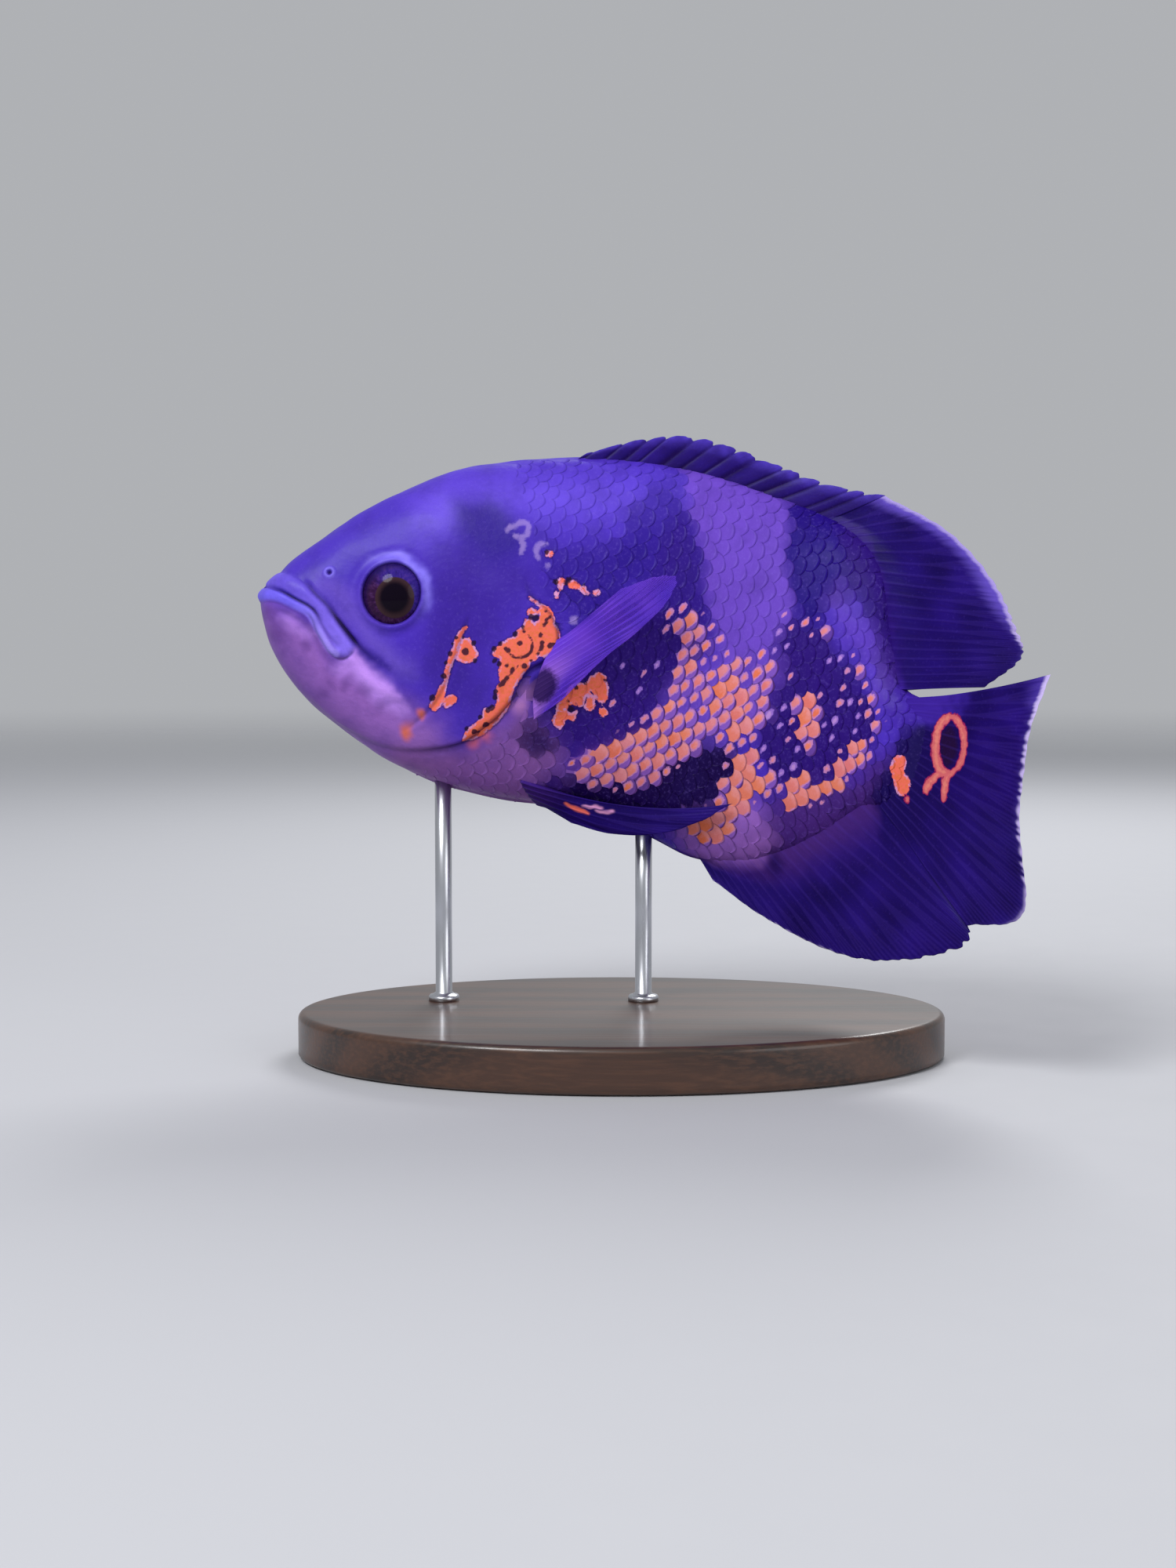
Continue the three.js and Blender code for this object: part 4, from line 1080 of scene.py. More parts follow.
def buildScales(name, side):
    settings = scaleSettings
    rng = np.random.default_rng(settings["seed"] + int(side))
    roots = scaleRoots()
    centre = onBody(*onArc(roots[:, 0], roots[:, 1], np.full(len(roots), side)))
    behind = behindFront(centre)
    upper = smooth(18, 26, centre[:, 2])
    keep = (behind > 1.2 - 1.0 * upper) & (centre[:, 0] < settings["until"])
    roots, centre, behind, upper = roots[keep], centre[keep], behind[keep], upper[keep]
    count = len(roots)
    rand = rng.random((count, 6))
    size = growth(roots[:, 0])[:, None]

    # Outline of each scale, a little uneven and turned
    n = settings["cells"] + 1
    x, y, rim = scaleOutline(n)
    ripple = np.sin(np.arctan2(y, x)[None, :] * 5 + rand[:, :1] * 6.28)
    wave = 1 + 0.03 * ripple * (x * x + y * y)[None, :]
    p = (x + 0.06 * (1 - y * y))[None, :] * settings["length"] * size * wave
    q = y[None, :] * settings["height"] * size * wave
    turn = (rand[:, 1:2] - 0.5) * 0.14
    p, q = p - q * turn, q + p * turn

    # Its slope, from under the scales in front to over those behind, sunk where scales run out
    t = (p / (settings["length"] * size) + 1) / 2
    lift = settings["front"] + (settings["rear"] - settings["front"]) * np.clip(t, 0, 1.1) ** 1.15
    lift = lift - 0.12 * (y * y)[None, :] * (1 - 0.5 * t) + (rand[:, 2:3] - 0.5) * 0.07
    breast = (1 - smooth(96, 110, centre[:, 0])) * (1 - smooth(-16, -6, centre[:, 2]))
    fadeIn = np.maximum(0.6 * upper * (1 - smooth(0, 26, behind)), 0.6 * breast)[:, None]
    tailOut = 0.35 * smooth(200, settings["until"], centre[:, 0])[:, None]
    lift = lift * (1 - 0.6 * fadeIn) - fadeIn * 0.5 - tailOut

    s, a = roots[:, :1] + p, roots[:, 1:] + q
    ring, lean, sides = onArc(s.ravel(), a.ravel(), np.full(s.size, side))
    base, out = onBody(ring, lean, sides), outward(ring, lean, sides)
    lift = lift.ravel() + softShape(base)
    middle = [n * n // 2]

    def raisedBy(height):
        return (base + out * height[:, None]).reshape(count, n * n, 3)

    def onEach(values):  # values of the top's points, carried to the skirt and the underside
        values = np.asarray(values).reshape(count, n * n, -1)
        return np.concatenate([values, values[:, rim], values[:, middle]], 1).reshape(-1, values.shape[2])

    below, under = raisedBy(lift - settings["thick"])[:, rim], raisedBy(lift - 0.5)[:, middle]
    points = np.concatenate([raisedBy(lift), below, under], 1).reshape(-1, 3)
    top, skirt, fan = scaleFaces(n, rim, count, side > 0)
    piece = makeMesh(name, swim(points), [top], [skirt, fan])

    # Colour, mostly one for each scale, and its marks
    shown = onBody(*onArc(roots[:, 0] + 1.9, roots[:, 1], np.full(count, side)))
    own = underpaint(shown) * (0.93 + 0.14 * rand[:, 3:4])
    colour = 0.62 * np.repeat(own[:, None], n * n, 1).reshape(-1, 3) + 0.38 * underpaint(base)
    mark = np.repeat(scaleMarks(shown[:, [0, 2]], rand)[:, None], n * n, 1)
    paint(piece, "place", onEach(base))
    paint(piece, "local", onEach(np.stack([p / size, q / size, t], -1)))
    paint(piece, "mark", onEach(mark))
    paint(piece, "marks", onEach(markDepths(base)))
    paint(piece, "under", withAlpha(onEach(colour)))

    # A small patch for each scale at its root's place on an unwrap of the skin
    patch = np.stack([p / size, q / size], -1) * 0.0015 / settings["length"]
    corner = np.stack([roots[:, 0] / 230, 0.5 + side * 0.25 + roots[:, 1] / 300], 1)
    unwrapped = onEach(corner[:, None] + patch)
    uv = piece.data.uv_layers.new(name="OFBake")
    loopVertex = np.zeros(len(piece.data.loops), np.int32)
    piece.data.loops.foreach_get("vertex_index", loopVertex)
    uv.data.foreach_set("uv", unwrapped[loopVertex].astype(np.float32).ravel())
    return piece


scaleLook = Finish("scale", specularIorLevel=0.06, coatWeight=0.03, coatRoughness=0.22)
place = scaleLook.kept("place", "Vector")
along, over, _ = scaleLook.parts(scaleLook.kept("local", "Vector"))
grown, hue, rand = scaleLook.parts(scaleLook.kept("mark", "Vector"))
ragged = scaleLook.noise(place, 0.75) + scaleLook.noise(place, 1.9) * 0.5 - 0.75
colour = scaleLook.kept("under", "Color")
mottle = scaleLook.noise(place, 0.13, 4)
fine = scaleLook.noise(place, 1.1, 4)
colour = scaleLook.layered(
    colour,
    (mottle.step(0.4, 0.75) * 0.25, tint(40, 24, 104)),
    (fine.step(0.5, 0.8) * 0.18, tint(140, 112, 226)),
)
lengthwise, across = along / scaleSettings["length"], over / scaleSettings["height"]
rear = (lengthwise * lengthwise + across * across) ** 0.5
marked = grown.step(0.05, 0.2)
dense = grown.step(0.6, 0.85)
colour = scaleLook.layered(
    colour,
    (dense * 0.8, tint(140, 92, 190)),
    # a dark line round each scale's edge: its dark border, and painted shade where the scales overlap
    (rear.step(0.9, 1.0) * (dense * 0.45 + 0.14), tint(26, 8, 74)),
)
more = (grown - 1.1).clamped() * 1.6
tall = (over - 0.15 + (rand * 40.0).sine() * 0.45) / (more + 2.5)
wide = (along - 1.95 + rand * 0.6 + over * -0.34) / (over.step(-2.6, 1.0) * 0.75 + 1.02 + more)
heart = (tall * tall + wide * wide) ** 0.5 + ragged * 0.75
shown = grown - heart
rimTone = scaleLook.mix(hue, tint(138, 104, 208), tint(208, 136, 184))
core = scaleLook.mix(hue, tint(172, 138, 222), scaleLook.mix(rand, palette["orange"], tint(232, 128, 98)))
colour = scaleLook.mix((shown + 0.22).step(0.0, 0.2) * marked * 0.9, colour, rimTone)
lit = (over * 0.5 + along * 0.3 + ragged * 3.0).step(0.1, 2.2)
core = scaleLook.mix(lit * hue * 0.6, core, tint(236, 158, 168))
colour = scaleLook.layered(
    colour,
    ((shown - 0.04).step(0.0, 0.3) * marked, core),
    # the same dark edge over the marks: dark border, and painted shade where the scales overlap
    (rear.step(0.93, 1.0) * dense * 0.4, tint(84, 26, 88)),
)
colour = markedColour(scaleLook, place, colour, scaleLook.kept("marks", "Vector"))
circuli = ((along * along + over * over) ** 0.5 * 14.0).sine()
height = circuli * 0.09 + scaleLook.noise(place, 2.4) * 0.5
scaleLook.set(baseColor=colour, roughness=fine * 0.3 + 0.28, normal=scaleLook.bump(height, 0.00022, 0.45))
for name, side in (("left", -1.0), ("right", 1.0)):
    scales = buildScales("oscar_scales_" + name, side)
    wear(scales, scaleLook)
    print("scales", name, len(scales.data.polygons))


# Fins: thin sheets between a root line and an edge line
def finPoints(line):  # [s, z] or [s, z, y] to [s, y, z]
    return np.array([[p[0], p[2] if len(p) > 2 else 0.0, p[1]] for p in line])


def finRidges(u, v, phase, width, split, forks):  # rays that fork towards the fin's edge
    ridge, offsets = np.zeros_like(u), [0.0]
    for level in range(split):
        offsets = [o + s * 0.25 / 2 ** level for o in offsets for s in (-1, 1)]
    for offset in offsets:
        away = (phase - offset * smooth(forks, 1, v) + 0.5) % 1 - 0.5
        ridge = np.maximum(ridge, np.exp(-(away / (width * (1 - 0.45 * v))) ** 2))
    return ridge


def buildFin(
    name, root, tip, rays, columns, rows, ray=0.1, width=0.15, split=2, forks=0.42, scallop=0.012, fray=0.006,
    fleshy=0.0, curl=2.0, bow=0.0, wavy=0.5, thickness=0.5, plump=0.0, uneven=0.0,
):  # u runs from the first ray to the last, v from the root to the edge
    u, v = np.meshgrid(np.linspace(0, 1, columns + 1), np.linspace(0, 1, rows + 1), indexing="ij")
    phase = u * (rays - 1) + uneven * np.sin(u * (rays - 1) * 2.1) + uneven * np.sin(u * (rays - 1) * 3.7)
    between = 1 - np.abs(np.cos(np.pi * phase)) ** 0.7 if plump else 0.5 - 0.5 * np.cos(2 * np.pi * phase)
    alongEdge = np.stack([u * 90, v * 0, v * 0], -1)
    torn = wobble(alongEdge, 9, 5) + wobble(alongEdge, 3, 2)
    reach = v * (1 - scallop * between ** 1.5 * v - fray * np.abs(torn) * v ** 8)
    start, end = through(finPoints(root), u), through(finPoints(tip), u)
    p = start + (end - start) * reach[..., None]
    p[..., 1] = start[..., 1] + (end[..., 1] - start[..., 1]) * reach ** curl
    p[..., 2] += bow * (1 - u) * 4 * reach * (1 - reach)
    p[..., 1] += wavy * v ** 1.5 * np.sin(u * 17 + v * 2.3) * np.sin(np.pi * u) ** 0.5
    if plump:  # lobes that lie over one another, in place of rays
        ridge = np.sin(np.pi * ((phase + 0.5) % 1) ** 0.75)
    else:
        ridge = finRidges(u, v, phase, width, split, forks)
    half = thickness / 2 * (1 - 0.45 * v) + ray * ridge * (1 - 0.7 * v) + plump * ridge * (1 - v ** 4) * 0.8
    half += fleshy * (1 - smooth(0, 0.3, v))
    half *= 1 - 0.75 * smooth(0.97, 1, v)
    mid = swim(p)
    out = unit(np.cross(np.gradient(mid, axis=0), np.gradient(mid, axis=1))) * half[..., None] * mm
    count = u.size
    at = np.arange(count).reshape(u.shape)
    sheet = gridFaces(*u.shape)
    rim = np.concatenate([at[:, 0], at[-1, 1:], at[::-1, -1][1:], at[0, ::-1][1:]])
    edge = np.stack([rim[1:], rim[:-1], rim[:-1] + count, rim[1:] + count], 1)
    points = np.concatenate([(mid + out).reshape(-1, 3), (mid - out).reshape(-1, 3)])
    piece = makeMesh(name, points, [sheet[:, ::-1], sheet + count, edge])

    def twice(values):  # the same for both faces
        return np.tile(values.reshape(count, -1), (2, 1))

    colours, marks = finColours(name, p.reshape(-1, 3), u.ravel(), v.ravel(), phase.ravel(), ridge.ravel())
    fromEdge = (1 - v) * np.linalg.norm(end - start, axis=-1)
    paint(piece, "place", twice(p))
    paint(piece, "fin", twice(np.stack([phase, v * 100, u * 100], -1)))
    paint(piece, "ridge", twice(ridge).ravel())
    paint(piece, "edge", twice(2.4 - fromEdge).ravel())
    paint(piece, "under", withAlpha(twice(colours)))
    paint(piece, "marks", twice(marks))
    return piece


spinyDorsal = {
    "root": [[80, 58.2], [92, 60.6], [104, 62.4], [118, 63.2], [132, 63], [145, 61.4], [158.9, 59.2]],
    "tip": [[85, 63.2], [99.5, 70.8], [114, 75.2], [129, 74.6], [144.5, 72.2], [159, 70.2], [175.6, 70.2]],
    "rays": 14, "columns": 260, "rows": 44, "ray": 0, "split": 0, "scallop": 0.12, "wavy": 0.3,
    "plump": 0.45, "uneven": 0.1, "fray": 0.02,
}
softDorsal = {
    "root": [[158.2, 59.3], [170, 55.4], [179.6, 46.4], [186, 35], [191, 24], [196.4, 16.4]],
    "tip": [
        [174.9, 70.2], [200.5, 62.6, 0.6], [221, 49.4, 1.6], [230.4, 39.4, 2.3], [233.6, 31.6, 2.5],
        [224, 22.4, 2.2],
    ],
    "rays": 20, "columns": 304, "rows": 96, "wavy": 0.7, "fleshy": 0.9, "ray": 0.08,
}
analFin = {
    "root": [[143.6, -43.6], [152, -44.2], [162, -41.8], [173, -35.4], [184, -27], [198, -14.6]],
    "tip": [
        [152, -51.6], [170, -58, 1], [191, -61.6, 2], [214, -58.9, 3], [238.4, -47.6, 4],
        [234.6, -38.6, 4.6],
    ],
    "rays": 19, "columns": 288, "rows": 88, "wavy": 0.6, "fleshy": 1.5, "fray": 0.01, "ray": 0.07,
}
caudalFin = {
    "root": [[201, 14.6], [200.4, 9], [200, 3], [200, -3], [200, -10], [201, -16.8]],
    "tip": [
        [249, 29.4, -3], [250, 12, -6.2], [252, -4, -6.3], [255.6, -20.7, -3], [256.5, -35.6, 0.6],
        [239, -42, 1.5],
    ],
    "rays": 17, "columns": 288, "rows": 120, "fleshy": 1.6, "bow": -0.8, "wavy": 0.6, "ray": 0.08,
    "scallop": 0.005, "fray": 0.003,
}


pectoralFin = {  # the paired fins are drawn for the right side: [s, z, y]
    "root": [
        [89.4, 6, 21.5], [88.2, 2, 21.5], [87.2, -2, 21.3], [86.8, -6, 21], [86.8, -9.6, 20.6],
        [87.6, -13, 20.1], [88.8, -16.2, 19.5],
    ],
    "tip": [
        [104, 26, 27], [113, 31.4, 29.5], [121, 32.6, 30.5], [119.4, 25, 30.5], [113, 16.6, 30],
        [104.6, 6.4, 28], [95, -9, 24.5],
    ],
    "rays": 14, "columns": 208, "rows": 84, "ray": 0.08, "fleshy": 1.4, "curl": 1, "wavy": 0.4,
    "thickness": 0.4,
}
pelvicFin = {
    "root": [
        [88.6, -35.2, 11.4], [90, -36.8, 10.2], [91.6, -38.2, 8.8], [93.2, -39.6, 7.2], [95, -40.8, 5.6],
    ],
    "tip": [
        [156, -27, 12.6], [147, -34.4, 12.4], [134, -41.2, 11.2], [119, -44.8, 9], [106, -44.6, 7.2],
    ],
    "rays": 6, "columns": 96, "rows": 110, "ray": 0.16, "fleshy": 0.8, "curl": 1, "bow": -4.2, "wavy": 0.2,
}


def onSide(fin, side):
    lines = {key: [[s, z, y * side] for s, z, y in fin[key]] for key in ("root", "tip")}
    return {**fin, **lines}


# Markings on the fins: lines [s, z] with a half width, and where pale margins start, [u, v]
tailRing = [
    ([
        [216.5, 12.2], [219, 12.3], [221.4, 11.2], [223.6, 9.1], [225.4, 6.2], [225.7, 2.5], [224.6, -0.9],
        [222.3, -3.4],
    ], 1.15),
    ([
        [216.5, 12.2], [215, 10.5], [214.2, 8], [214.3, 5], [215, 2], [216.6, -0.9], [218.8, -2.9],
        [221.6, -3.4],
    ], 1.65),
    ([[218.2, -4.3], [216.2, -5.9], [215.2, -7.8], [214.9, -9.5]], 1.4),
    ([[221.9, -3.2], [221.4, -5.4], [221.6, -7.6], [222, -9.8]], 1.5),
]
tailRingInside = [
    [217.6, 9.6], [220.6, 8.4], [223, 4], [221.6, -0.6], [219.6, -1.2], [217, 2.4], [216.4, 6.4],
]
pelvicDashes = [
    ([[103, -39], [106.6, -39.9], [110.4, -40.2]], "coral"), ([[108, -38.6], [113.7, -37.6]], "blush"),
    ([[112.6, -39], [118, -38]], "blush"),
]
dorsalPatch = [
    [163, 60.6], [171.4, 59.4], [176.6, 54], [180.4, 48.8], [184.8, 43], [182.4, 40], [177, 46], [172, 53],
]
skinBlend = {"dorsal_rays": (0.0, 0.15), "anal": (0.05, 0.45), "tail": (0.2, 0.52)}  # by v
margins = {
    "dorsal_rays": [
        [0, 0.74], [0.06, 0.75], [0.14, 0.79], [0.21, 0.83], [0.28, 0.85], [0.34, 0.84], [0.43, 0.83],
        [0.52, 0.87], [0.61, 0.95], [0.72, 1.01], [1, 1.03],
    ],
    "tail": [
        [0, 0.9], [0.08, 0.91], [0.13, 0.965], [0.3, 0.985], [0.6, 0.993], [0.8, 0.997], [0.87, 1.01],
        [1, 1.03],
    ],
    "anal": [[0, 0.97], [0.05, 0.985], [0.4, 0.99], [0.5, 1.03], [1, 1.03]],
}


def finColours(name, p, u, v, phase, ridge):
    kind = name.removeprefix("oscar_fin_")
    place = p[:, [0, 2]] + 0.35 * np.stack([wobble(p, 3.5), wobble(p, 4, 3)], 1)
    marks = np.full((len(p), 3), -9.0)  # orange, black and margin
    clear = kind.startswith("pectoral")
    dark, light = ("clearDark", "clearLight") if clear else ("finDark", "finLight")
    c = np.tile(np.array(palette[dark][:3]), (len(p), 1))
    c = toward(c, 0.5 + 0.5 * wobble(p, 17, 2), palette[light])
    if kind == "dorsal_spines":
        c = toward(c, smooth(0.6, 0.97, v) * (0.7 + 0.3 * wobble(p, 6, 4)), palette["spine"])
        # painted shade in the grooves between the lobes
        c = toward(c, 0.8 * (1 - smooth(0.1, 0.6, ridge)) * (1 - 0.5 * v ** 3), palette["black"])
        c = toward(c, 0.5 * (1 - smooth(0, 0.45, v)), palette["black"])
    elif clear:
        c = toward(c, 0.75 * (1 - smooth(0.02, 0.4, v)) * smooth(0.1, 0.6, u), palette["pink"])
        marks[:, 1] = 1 - np.hypot(*((place - [89, -6.4]) / [3.8, 5.2]).T)
    elif kind.startswith("pelvic"):
        c = toward(c, 0.5 * (1 - smooth(0, 0.3, v)), palette["plum"])
        for line, tone in pelvicDashes:
            c = toward(c, smooth(-0.4, 0.3, stroke(place, line, 0.5)), palette[tone])
    else:
        skinShare = (1 - smooth(*skinBlend[kind], v + 0.05 * wobble(p, 6, 8)))[:, None]
        c = c + skinShare * 0.85 * (underpaint(p) - c)
        streak = 0.02 * wobble(np.stack([phase * 5, v, v], 1), 5, 4)
        streak += 0.014 * np.sin(phase * 12.6 + 2 * np.sin(phase * 3.1))
        height = np.interp(u, [0, 0.15, 0.9, 1], [25, 45, 45, 35])
        start = np.interp(u, *np.array(margins[kind]).T)
        marks[:, 2] = (v - start + streak * (1 - smooth(0.6, 0.75, u))) * height
    if kind == "tail":
        ring = [stroke(place, line, half, 0.75) for line, half in tailRing]
        marks[:, 0] = np.max([depthIn(place, tailBlotch, 9), spots(place, tailSpot)] + ring, axis=0)
        c = toward(c, 0.8 * smooth(-1.5, 1, depthIn(place, tailRingInside, 4)), palette["dot"])
    if kind == "dorsal_rays":
        c = toward(c, 0.85 * smooth(-1.2, 1.2, depthIn(place, dorsalPatch, 4)), palette["ink"])
    return c, marks


def finLook(name, pale, veil=False):
    look = Finish(name, specularIorLevel=0.06, coatWeight=0.02, coatRoughness=0.3)
    place = look.kept("place", "Vector")
    ridge = look.kept("ridge")
    orange, black, margin = look.parts(look.kept("marks", "Vector"))
    streak = look.noise(look.kept("fin", "Vector"), 1.0, 4, 0.6, (5, 0.07, 0))
    fine = look.noise(place, 1.3, 4)
    colour = look.kept("under", "Color")
    colour = look.layered(
        colour,
        (ridge.step(0.2, 0.9) * 0.09, pale),
        (streak.step(0.42, 0.7) * 0.16, palette["clearDark" if veil else "dot"]),
        (fine.step(0.55, 0.8) * 0.14, pale),
    )
    ragged = look.noise(place, 0.8) * 1.1 + look.noise(place, 2.4) * 0.4 - 0.75
    colour = look.mix((margin + streak * 3.0 - 1.5).step(-2.5, 6.0) * 0.7, colour, tint(112, 88, 210))
    back = look.parts(place)[0].step(222, 238) * 0.4 + 0.5  # the edge is paler towards the tail
    edge = (look.kept("edge") + streak * 1.6).step(0.9, 2.6) * margin.step(-1.0, 1.0) * back
    colour = look.layered(
        colour,
        (edge, tint(206, 188, 242)),
        ((orange + ragged).step(-0.3, -0.1), tint(150, 30, 84)),
        ((orange + ragged).step(-0.05, 0.35), tint(212, 100, 106)),
        ((orange + ragged * 2).step(0.6, 1.3) * 0.5, tint(236, 146, 122)),
        ((black + fine * 0.4 - 0.2).step(-0.25, 0.25) * 0.9, palette["black"]),
    )
    height = fine * 0.4 + streak * 0.4
    look.set(baseColor=colour, roughness=fine * 0.2 + 0.32, normal=look.bump(height, 0.00025, 0.5))
    if veil:
        root = look.parts(look.kept("fin", "Vector"))[1]
        look.set(alpha=(1.0 - root.step(8, 60) * (0.68 - ridge * 0.3)).clamped())
    return look


darkFin = finLook("fin", tint(88, 60, 186))
clearFin = finLook("clear_fin", tint(150, 112, 246), True)
fins = [
    ("dorsal_spines", spinyDorsal, "dorsal_fin_spines"), ("dorsal_rays", softDorsal, "dorsal_fin_rays"),
    ("anal", analFin, "anal_fin"), ("tail", caudalFin, "tail_fin"),
]
for name, fin in (("pectoral", pectoralFin), ("pelvic", pelvicFin)):
    fins += [(name + "_left", onSide(fin, -1), name + "_fin_left")]
    fins += [(name + "_right", onSide(fin, 1), name + "_fin_right")]
for name, settings, node in fins:
    piece = buildFin("oscar_fin_" + name, **settings)
    clear = name.startswith("pectoral")
    wear(piece, clearFin if clear else darkFin)
    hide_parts(node)
print("fins")


# Eyes
def buildEye(name, side):
    n, m = eye["rings"], eye["around"]
    around = np.arange(m) * 2 * np.pi / m
    turn, angle = np.meshgrid(np.linspace(0.004, np.pi * 0.72, n), around, indexing="ij")
    r = eye["radius"] * np.sin(turn)
    x, y = r * np.cos(angle), r * np.sin(angle)
    z = eye["depth"] * np.cos(turn) - eye["sunk"]
    out, spot = eyeOut * [1, side, 1], eyeSpot * [1, side, 1]
    back = unit(np.array([1.0, 0, 0]) - out * out[0])
    up = np.cross(out, back)
    up = up if up[2] > 0 else -up
    p = spot + x[..., None] * back + y[..., None] * up + z[..., None] * out
    ends = np.array([spot + out * (eye["depth"] - eye["sunk"]), p[-1].mean(0)])
    quads, fans = gridFaces(n, m, True), capFaces(n, m)
    if side > 0:
        quads, fans = quads[:, ::-1], fans[:, ::-1]
    piece = makeMesh(name, swim(np.vstack([p.reshape(-1, 3), ends])), [quads, fans])
    local = np.stack([x, y, z], -1).reshape(-1, 3)
    paint(piece, "eye", np.vstack([local, [[0, 0, 3], [0, 0, -6]]]))
    return piece


eyeLook = Finish("eye", roughness=0.1, coatWeight=0.05, coatRoughness=0.03, specularIorLevel=0.05)
spot = eyeLook.kept("eye", "Vector")
x, y, z = eyeLook.parts(spot)
x, y = x - 1.6, y + 1.1  # the pupil stands a little behind the middle and below it
r = (x * x + y * y) ** 0.5
fibreAt = eyeLook.node("CombineXYZ", None, {0: x / r * 5.0, 1: y / r * 5.0, 2: r * 0.35})
fibre = eyeLook.noise(fibreAt, 1.4, 4, 0.65)
cloud = eyeLook.noise(spot, 0.35, 3)
high = (y * 0.8 + x * 0.45 + cloud * 5.0).step(0.0, 6.5)
colour = eyeLook.mix(high, tint(52, 20, 60), tint(52, 34, 132))
colour = eyeLook.layered(
    colour,
    (fibre.step(0.45, 0.75) * 0.4, tint(104, 66, 130)),
    (fibre.step(0.55, 0.3) * 0.5, tint(22, 8, 46)),
    (r.step(7.6, 9.8) * 0.75, tint(26, 12, 70)),
    (r.step(6.1, 5.7), tint(58, 38, 44)),
    (r.step(5.7, 3.6), tint(13, 5, 20)),
)
eyeLook.set(baseColor=colour)
for name, side in (("left", -1), ("right", 1)):
    piece = buildEye("oscar_eye_" + name, side)
    wear(piece, eyeLook)
    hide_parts("eye_" + name)
print("eyes")


# Stand: an oval board and two steel rods
def turned(name, profile, centre, grow, around):  # a profile [radius, z] swept round an oval
    profile = np.asarray(profile, float)
    angle = np.arange(around) * 2 * np.pi / around
    r, h = profile[:, 0][:, None], profile[:, 1][:, None]
    x, y = np.cos(angle) * (r + grow[0]), np.sin(angle) * (r + grow[1])
    p = np.stack([x + centre[0], y + centre[1], np.broadcast_to(h, x.shape)], -1)
    n, m = x.shape
    ends = np.array([[centre[0], centre[1], profile[0, 1]], [centre[0], centre[1], profile[-1, 1]]])
    quads = gridFaces(n, m, True)[:, ::-1]
    return makeMesh(name, np.vstack([p.reshape(-1, 3), ends]) * mm, [quads], [capFaces(n, m)[:, ::-1]])


stand = {"length": 190, "width": 122, "height": 13, "bevel": 2, "rod": 2.5, "collar": 4.6}
rods = {"front": (-53.3, 15.8, 79.3), "rear": (6.9, 14.9, 64.8)}  # x, y and upper end
top, soft = stand["height"], stand["bevel"]
bevel = [[soft * (np.sin(a) - 1), top + soft * (np.cos(a) - 1)] for a in np.linspace(np.pi / 2, 0, 9)]
foot = [[-8, 0], [-1, 0], [-0.4, 0.3], [0, 0.9]] + [[0, h] for h in (2, 4, 6, 8, 10)]
edge = foot + bevel + [[-3, top], [-30, top]]
board = turned("oscar_stand_base", edge, (0, 0), (stand["length"] / 2, stand["width"] / 2), 256)
wood = Finish("stand_wood", coatWeight=0.35, coatRoughness=0.15)
place = wood.node("TexCoord", output=3)
x, y, z = wood.parts(place)
warp = wood.noise(place, 9, 3, 0.5, (0.5, 3, 3))
grain = (y * 340.0 + z * 220.0 + warp * 9.0 + wood.noise(place, 90, 3, 0.5, (0.1, 1, 1)) * 0.8).sine()
fibre = wood.noise(place, 900, 4, 0.6, (0.04, 1, 1))
colour = wood.mix(grain.step(-0.9, 1.0), tint(66, 40, 26), tint(38, 22, 15))
colour = wood.mix(fibre.step(0.4, 0.7) * 0.5, colour, tint(90, 56, 36))
wood.set(baseColor=colour, roughness=fibre * 0.2 + 0.3, normal=wood.bump(fibre, 0.0002, 0.3))
wear(board, wood)
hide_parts("stand_base")
steel = Finish("stand_steel", metallic=1.0, baseColor=tint(196, 198, 204))
brush = steel.noise(steel.node("TexCoord", output=3), 1400, 3, 0.6, (1, 1, 0.05))
steel.set(roughness=brush * 0.2 + 0.2, normal=steel.bump(brush, 0.00005, 0.4))
thick, wide = stand["rod"], stand["collar"]
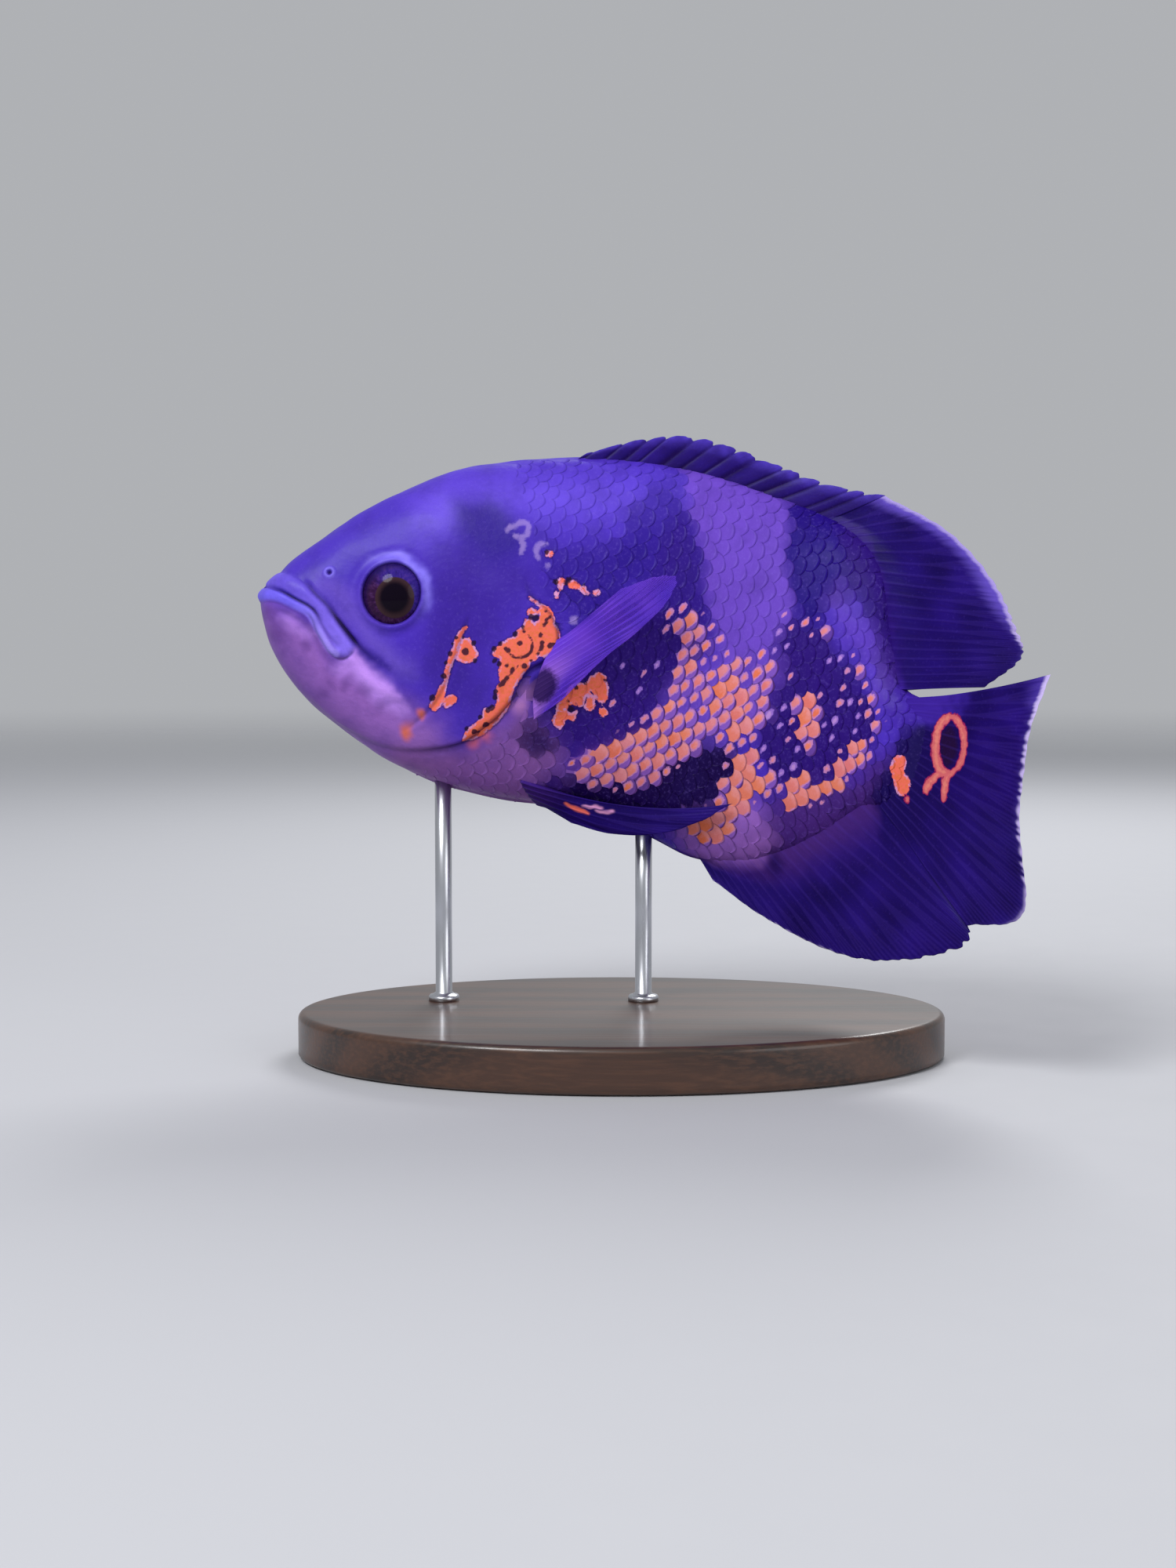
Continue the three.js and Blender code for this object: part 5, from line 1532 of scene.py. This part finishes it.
collar = [[2, top - 0.1], [wide, top - 0.1], [wide, top + 1.2], [wide - 0.3, top + 1.7]]
collar += [[wide - 1.2, top + 1.9], [thick, top + 2.6]]
for name, (x, y, end) in rods.items():
    profile = collar + [[thick, 40], [thick, end], [thick - 1, end + 0.2]]
    bar = turned("oscar_stand_rod_" + name, profile, (x, y), (0, 0), 64)
    wear(bar, steel)
    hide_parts("stand_rod_" + name)
print("stand")


# Floor and light: the floor thins out into the plain background
floorSettings = {"radius": 6.0, "around": 96, "level": -0.0003, "near": 0.7, "far": 3.2}
radius, around, level = floorSettings["radius"], floorSettings["around"], floorSettings["level"]
angle = np.arange(around) * 2 * np.pi / around
disc = np.stack([radius * np.cos(angle), radius * np.sin(angle), angle * 0 + level], 1)
fans = [[around, k, (k + 1) % around] for k in range(around)]
floor = makeMesh("floor", np.vstack([disc, [[0, 0, level]]]), [np.array(fans)])
ground = Finish("floor", baseColor=tint(186, 187, 192))
place = ground.node("TexCoord", output=3)
x, y, z = ground.parts(place)
away = (x * x + y * y) ** 0.5
fade = away.step(floorSettings["near"], floorSettings["far"])
ground.set(roughness=ground.noise(place, 60) * 0.2 + 0.75, alpha=1.0 - fade)
floor.data.materials.append(ground.material)


def lamp(name, place, target, size, power):
    data = bpy.data.lights.new(name, "AREA")
    data.shape, data.size, data.energy = "DISK", size, power
    light = bpy.data.objects.new(name, data)
    light.location = place
    light.rotation_euler = (Vector(target) - Vector(place)).to_track_quat("-Z", "Y").to_euler()
    bpy.context.scene.collection.objects.link(light)


lamp("key", (-0.5, -0.75, 1.0), (0, 0, 0.1), 0.5, 11)
lamp("fill", (0.9, -0.8, 0.4), (0, 0, 0.1), 0.8, 3)
lamp("back", (0.3, 0.9, 0.9), (0, 0, 0.12), 0.6, 8)
world = bpy.data.worlds.new("studio")
bpy.context.scene.world = world
world.use_nodes = True
world.node_tree.nodes["Background"].inputs[0].default_value = (0.86, 0.88, 0.92, 1)
world.node_tree.nodes["Background"].inputs[1].default_value = 0.5
bpy.context.scene.view_settings.view_transform = "Standard"
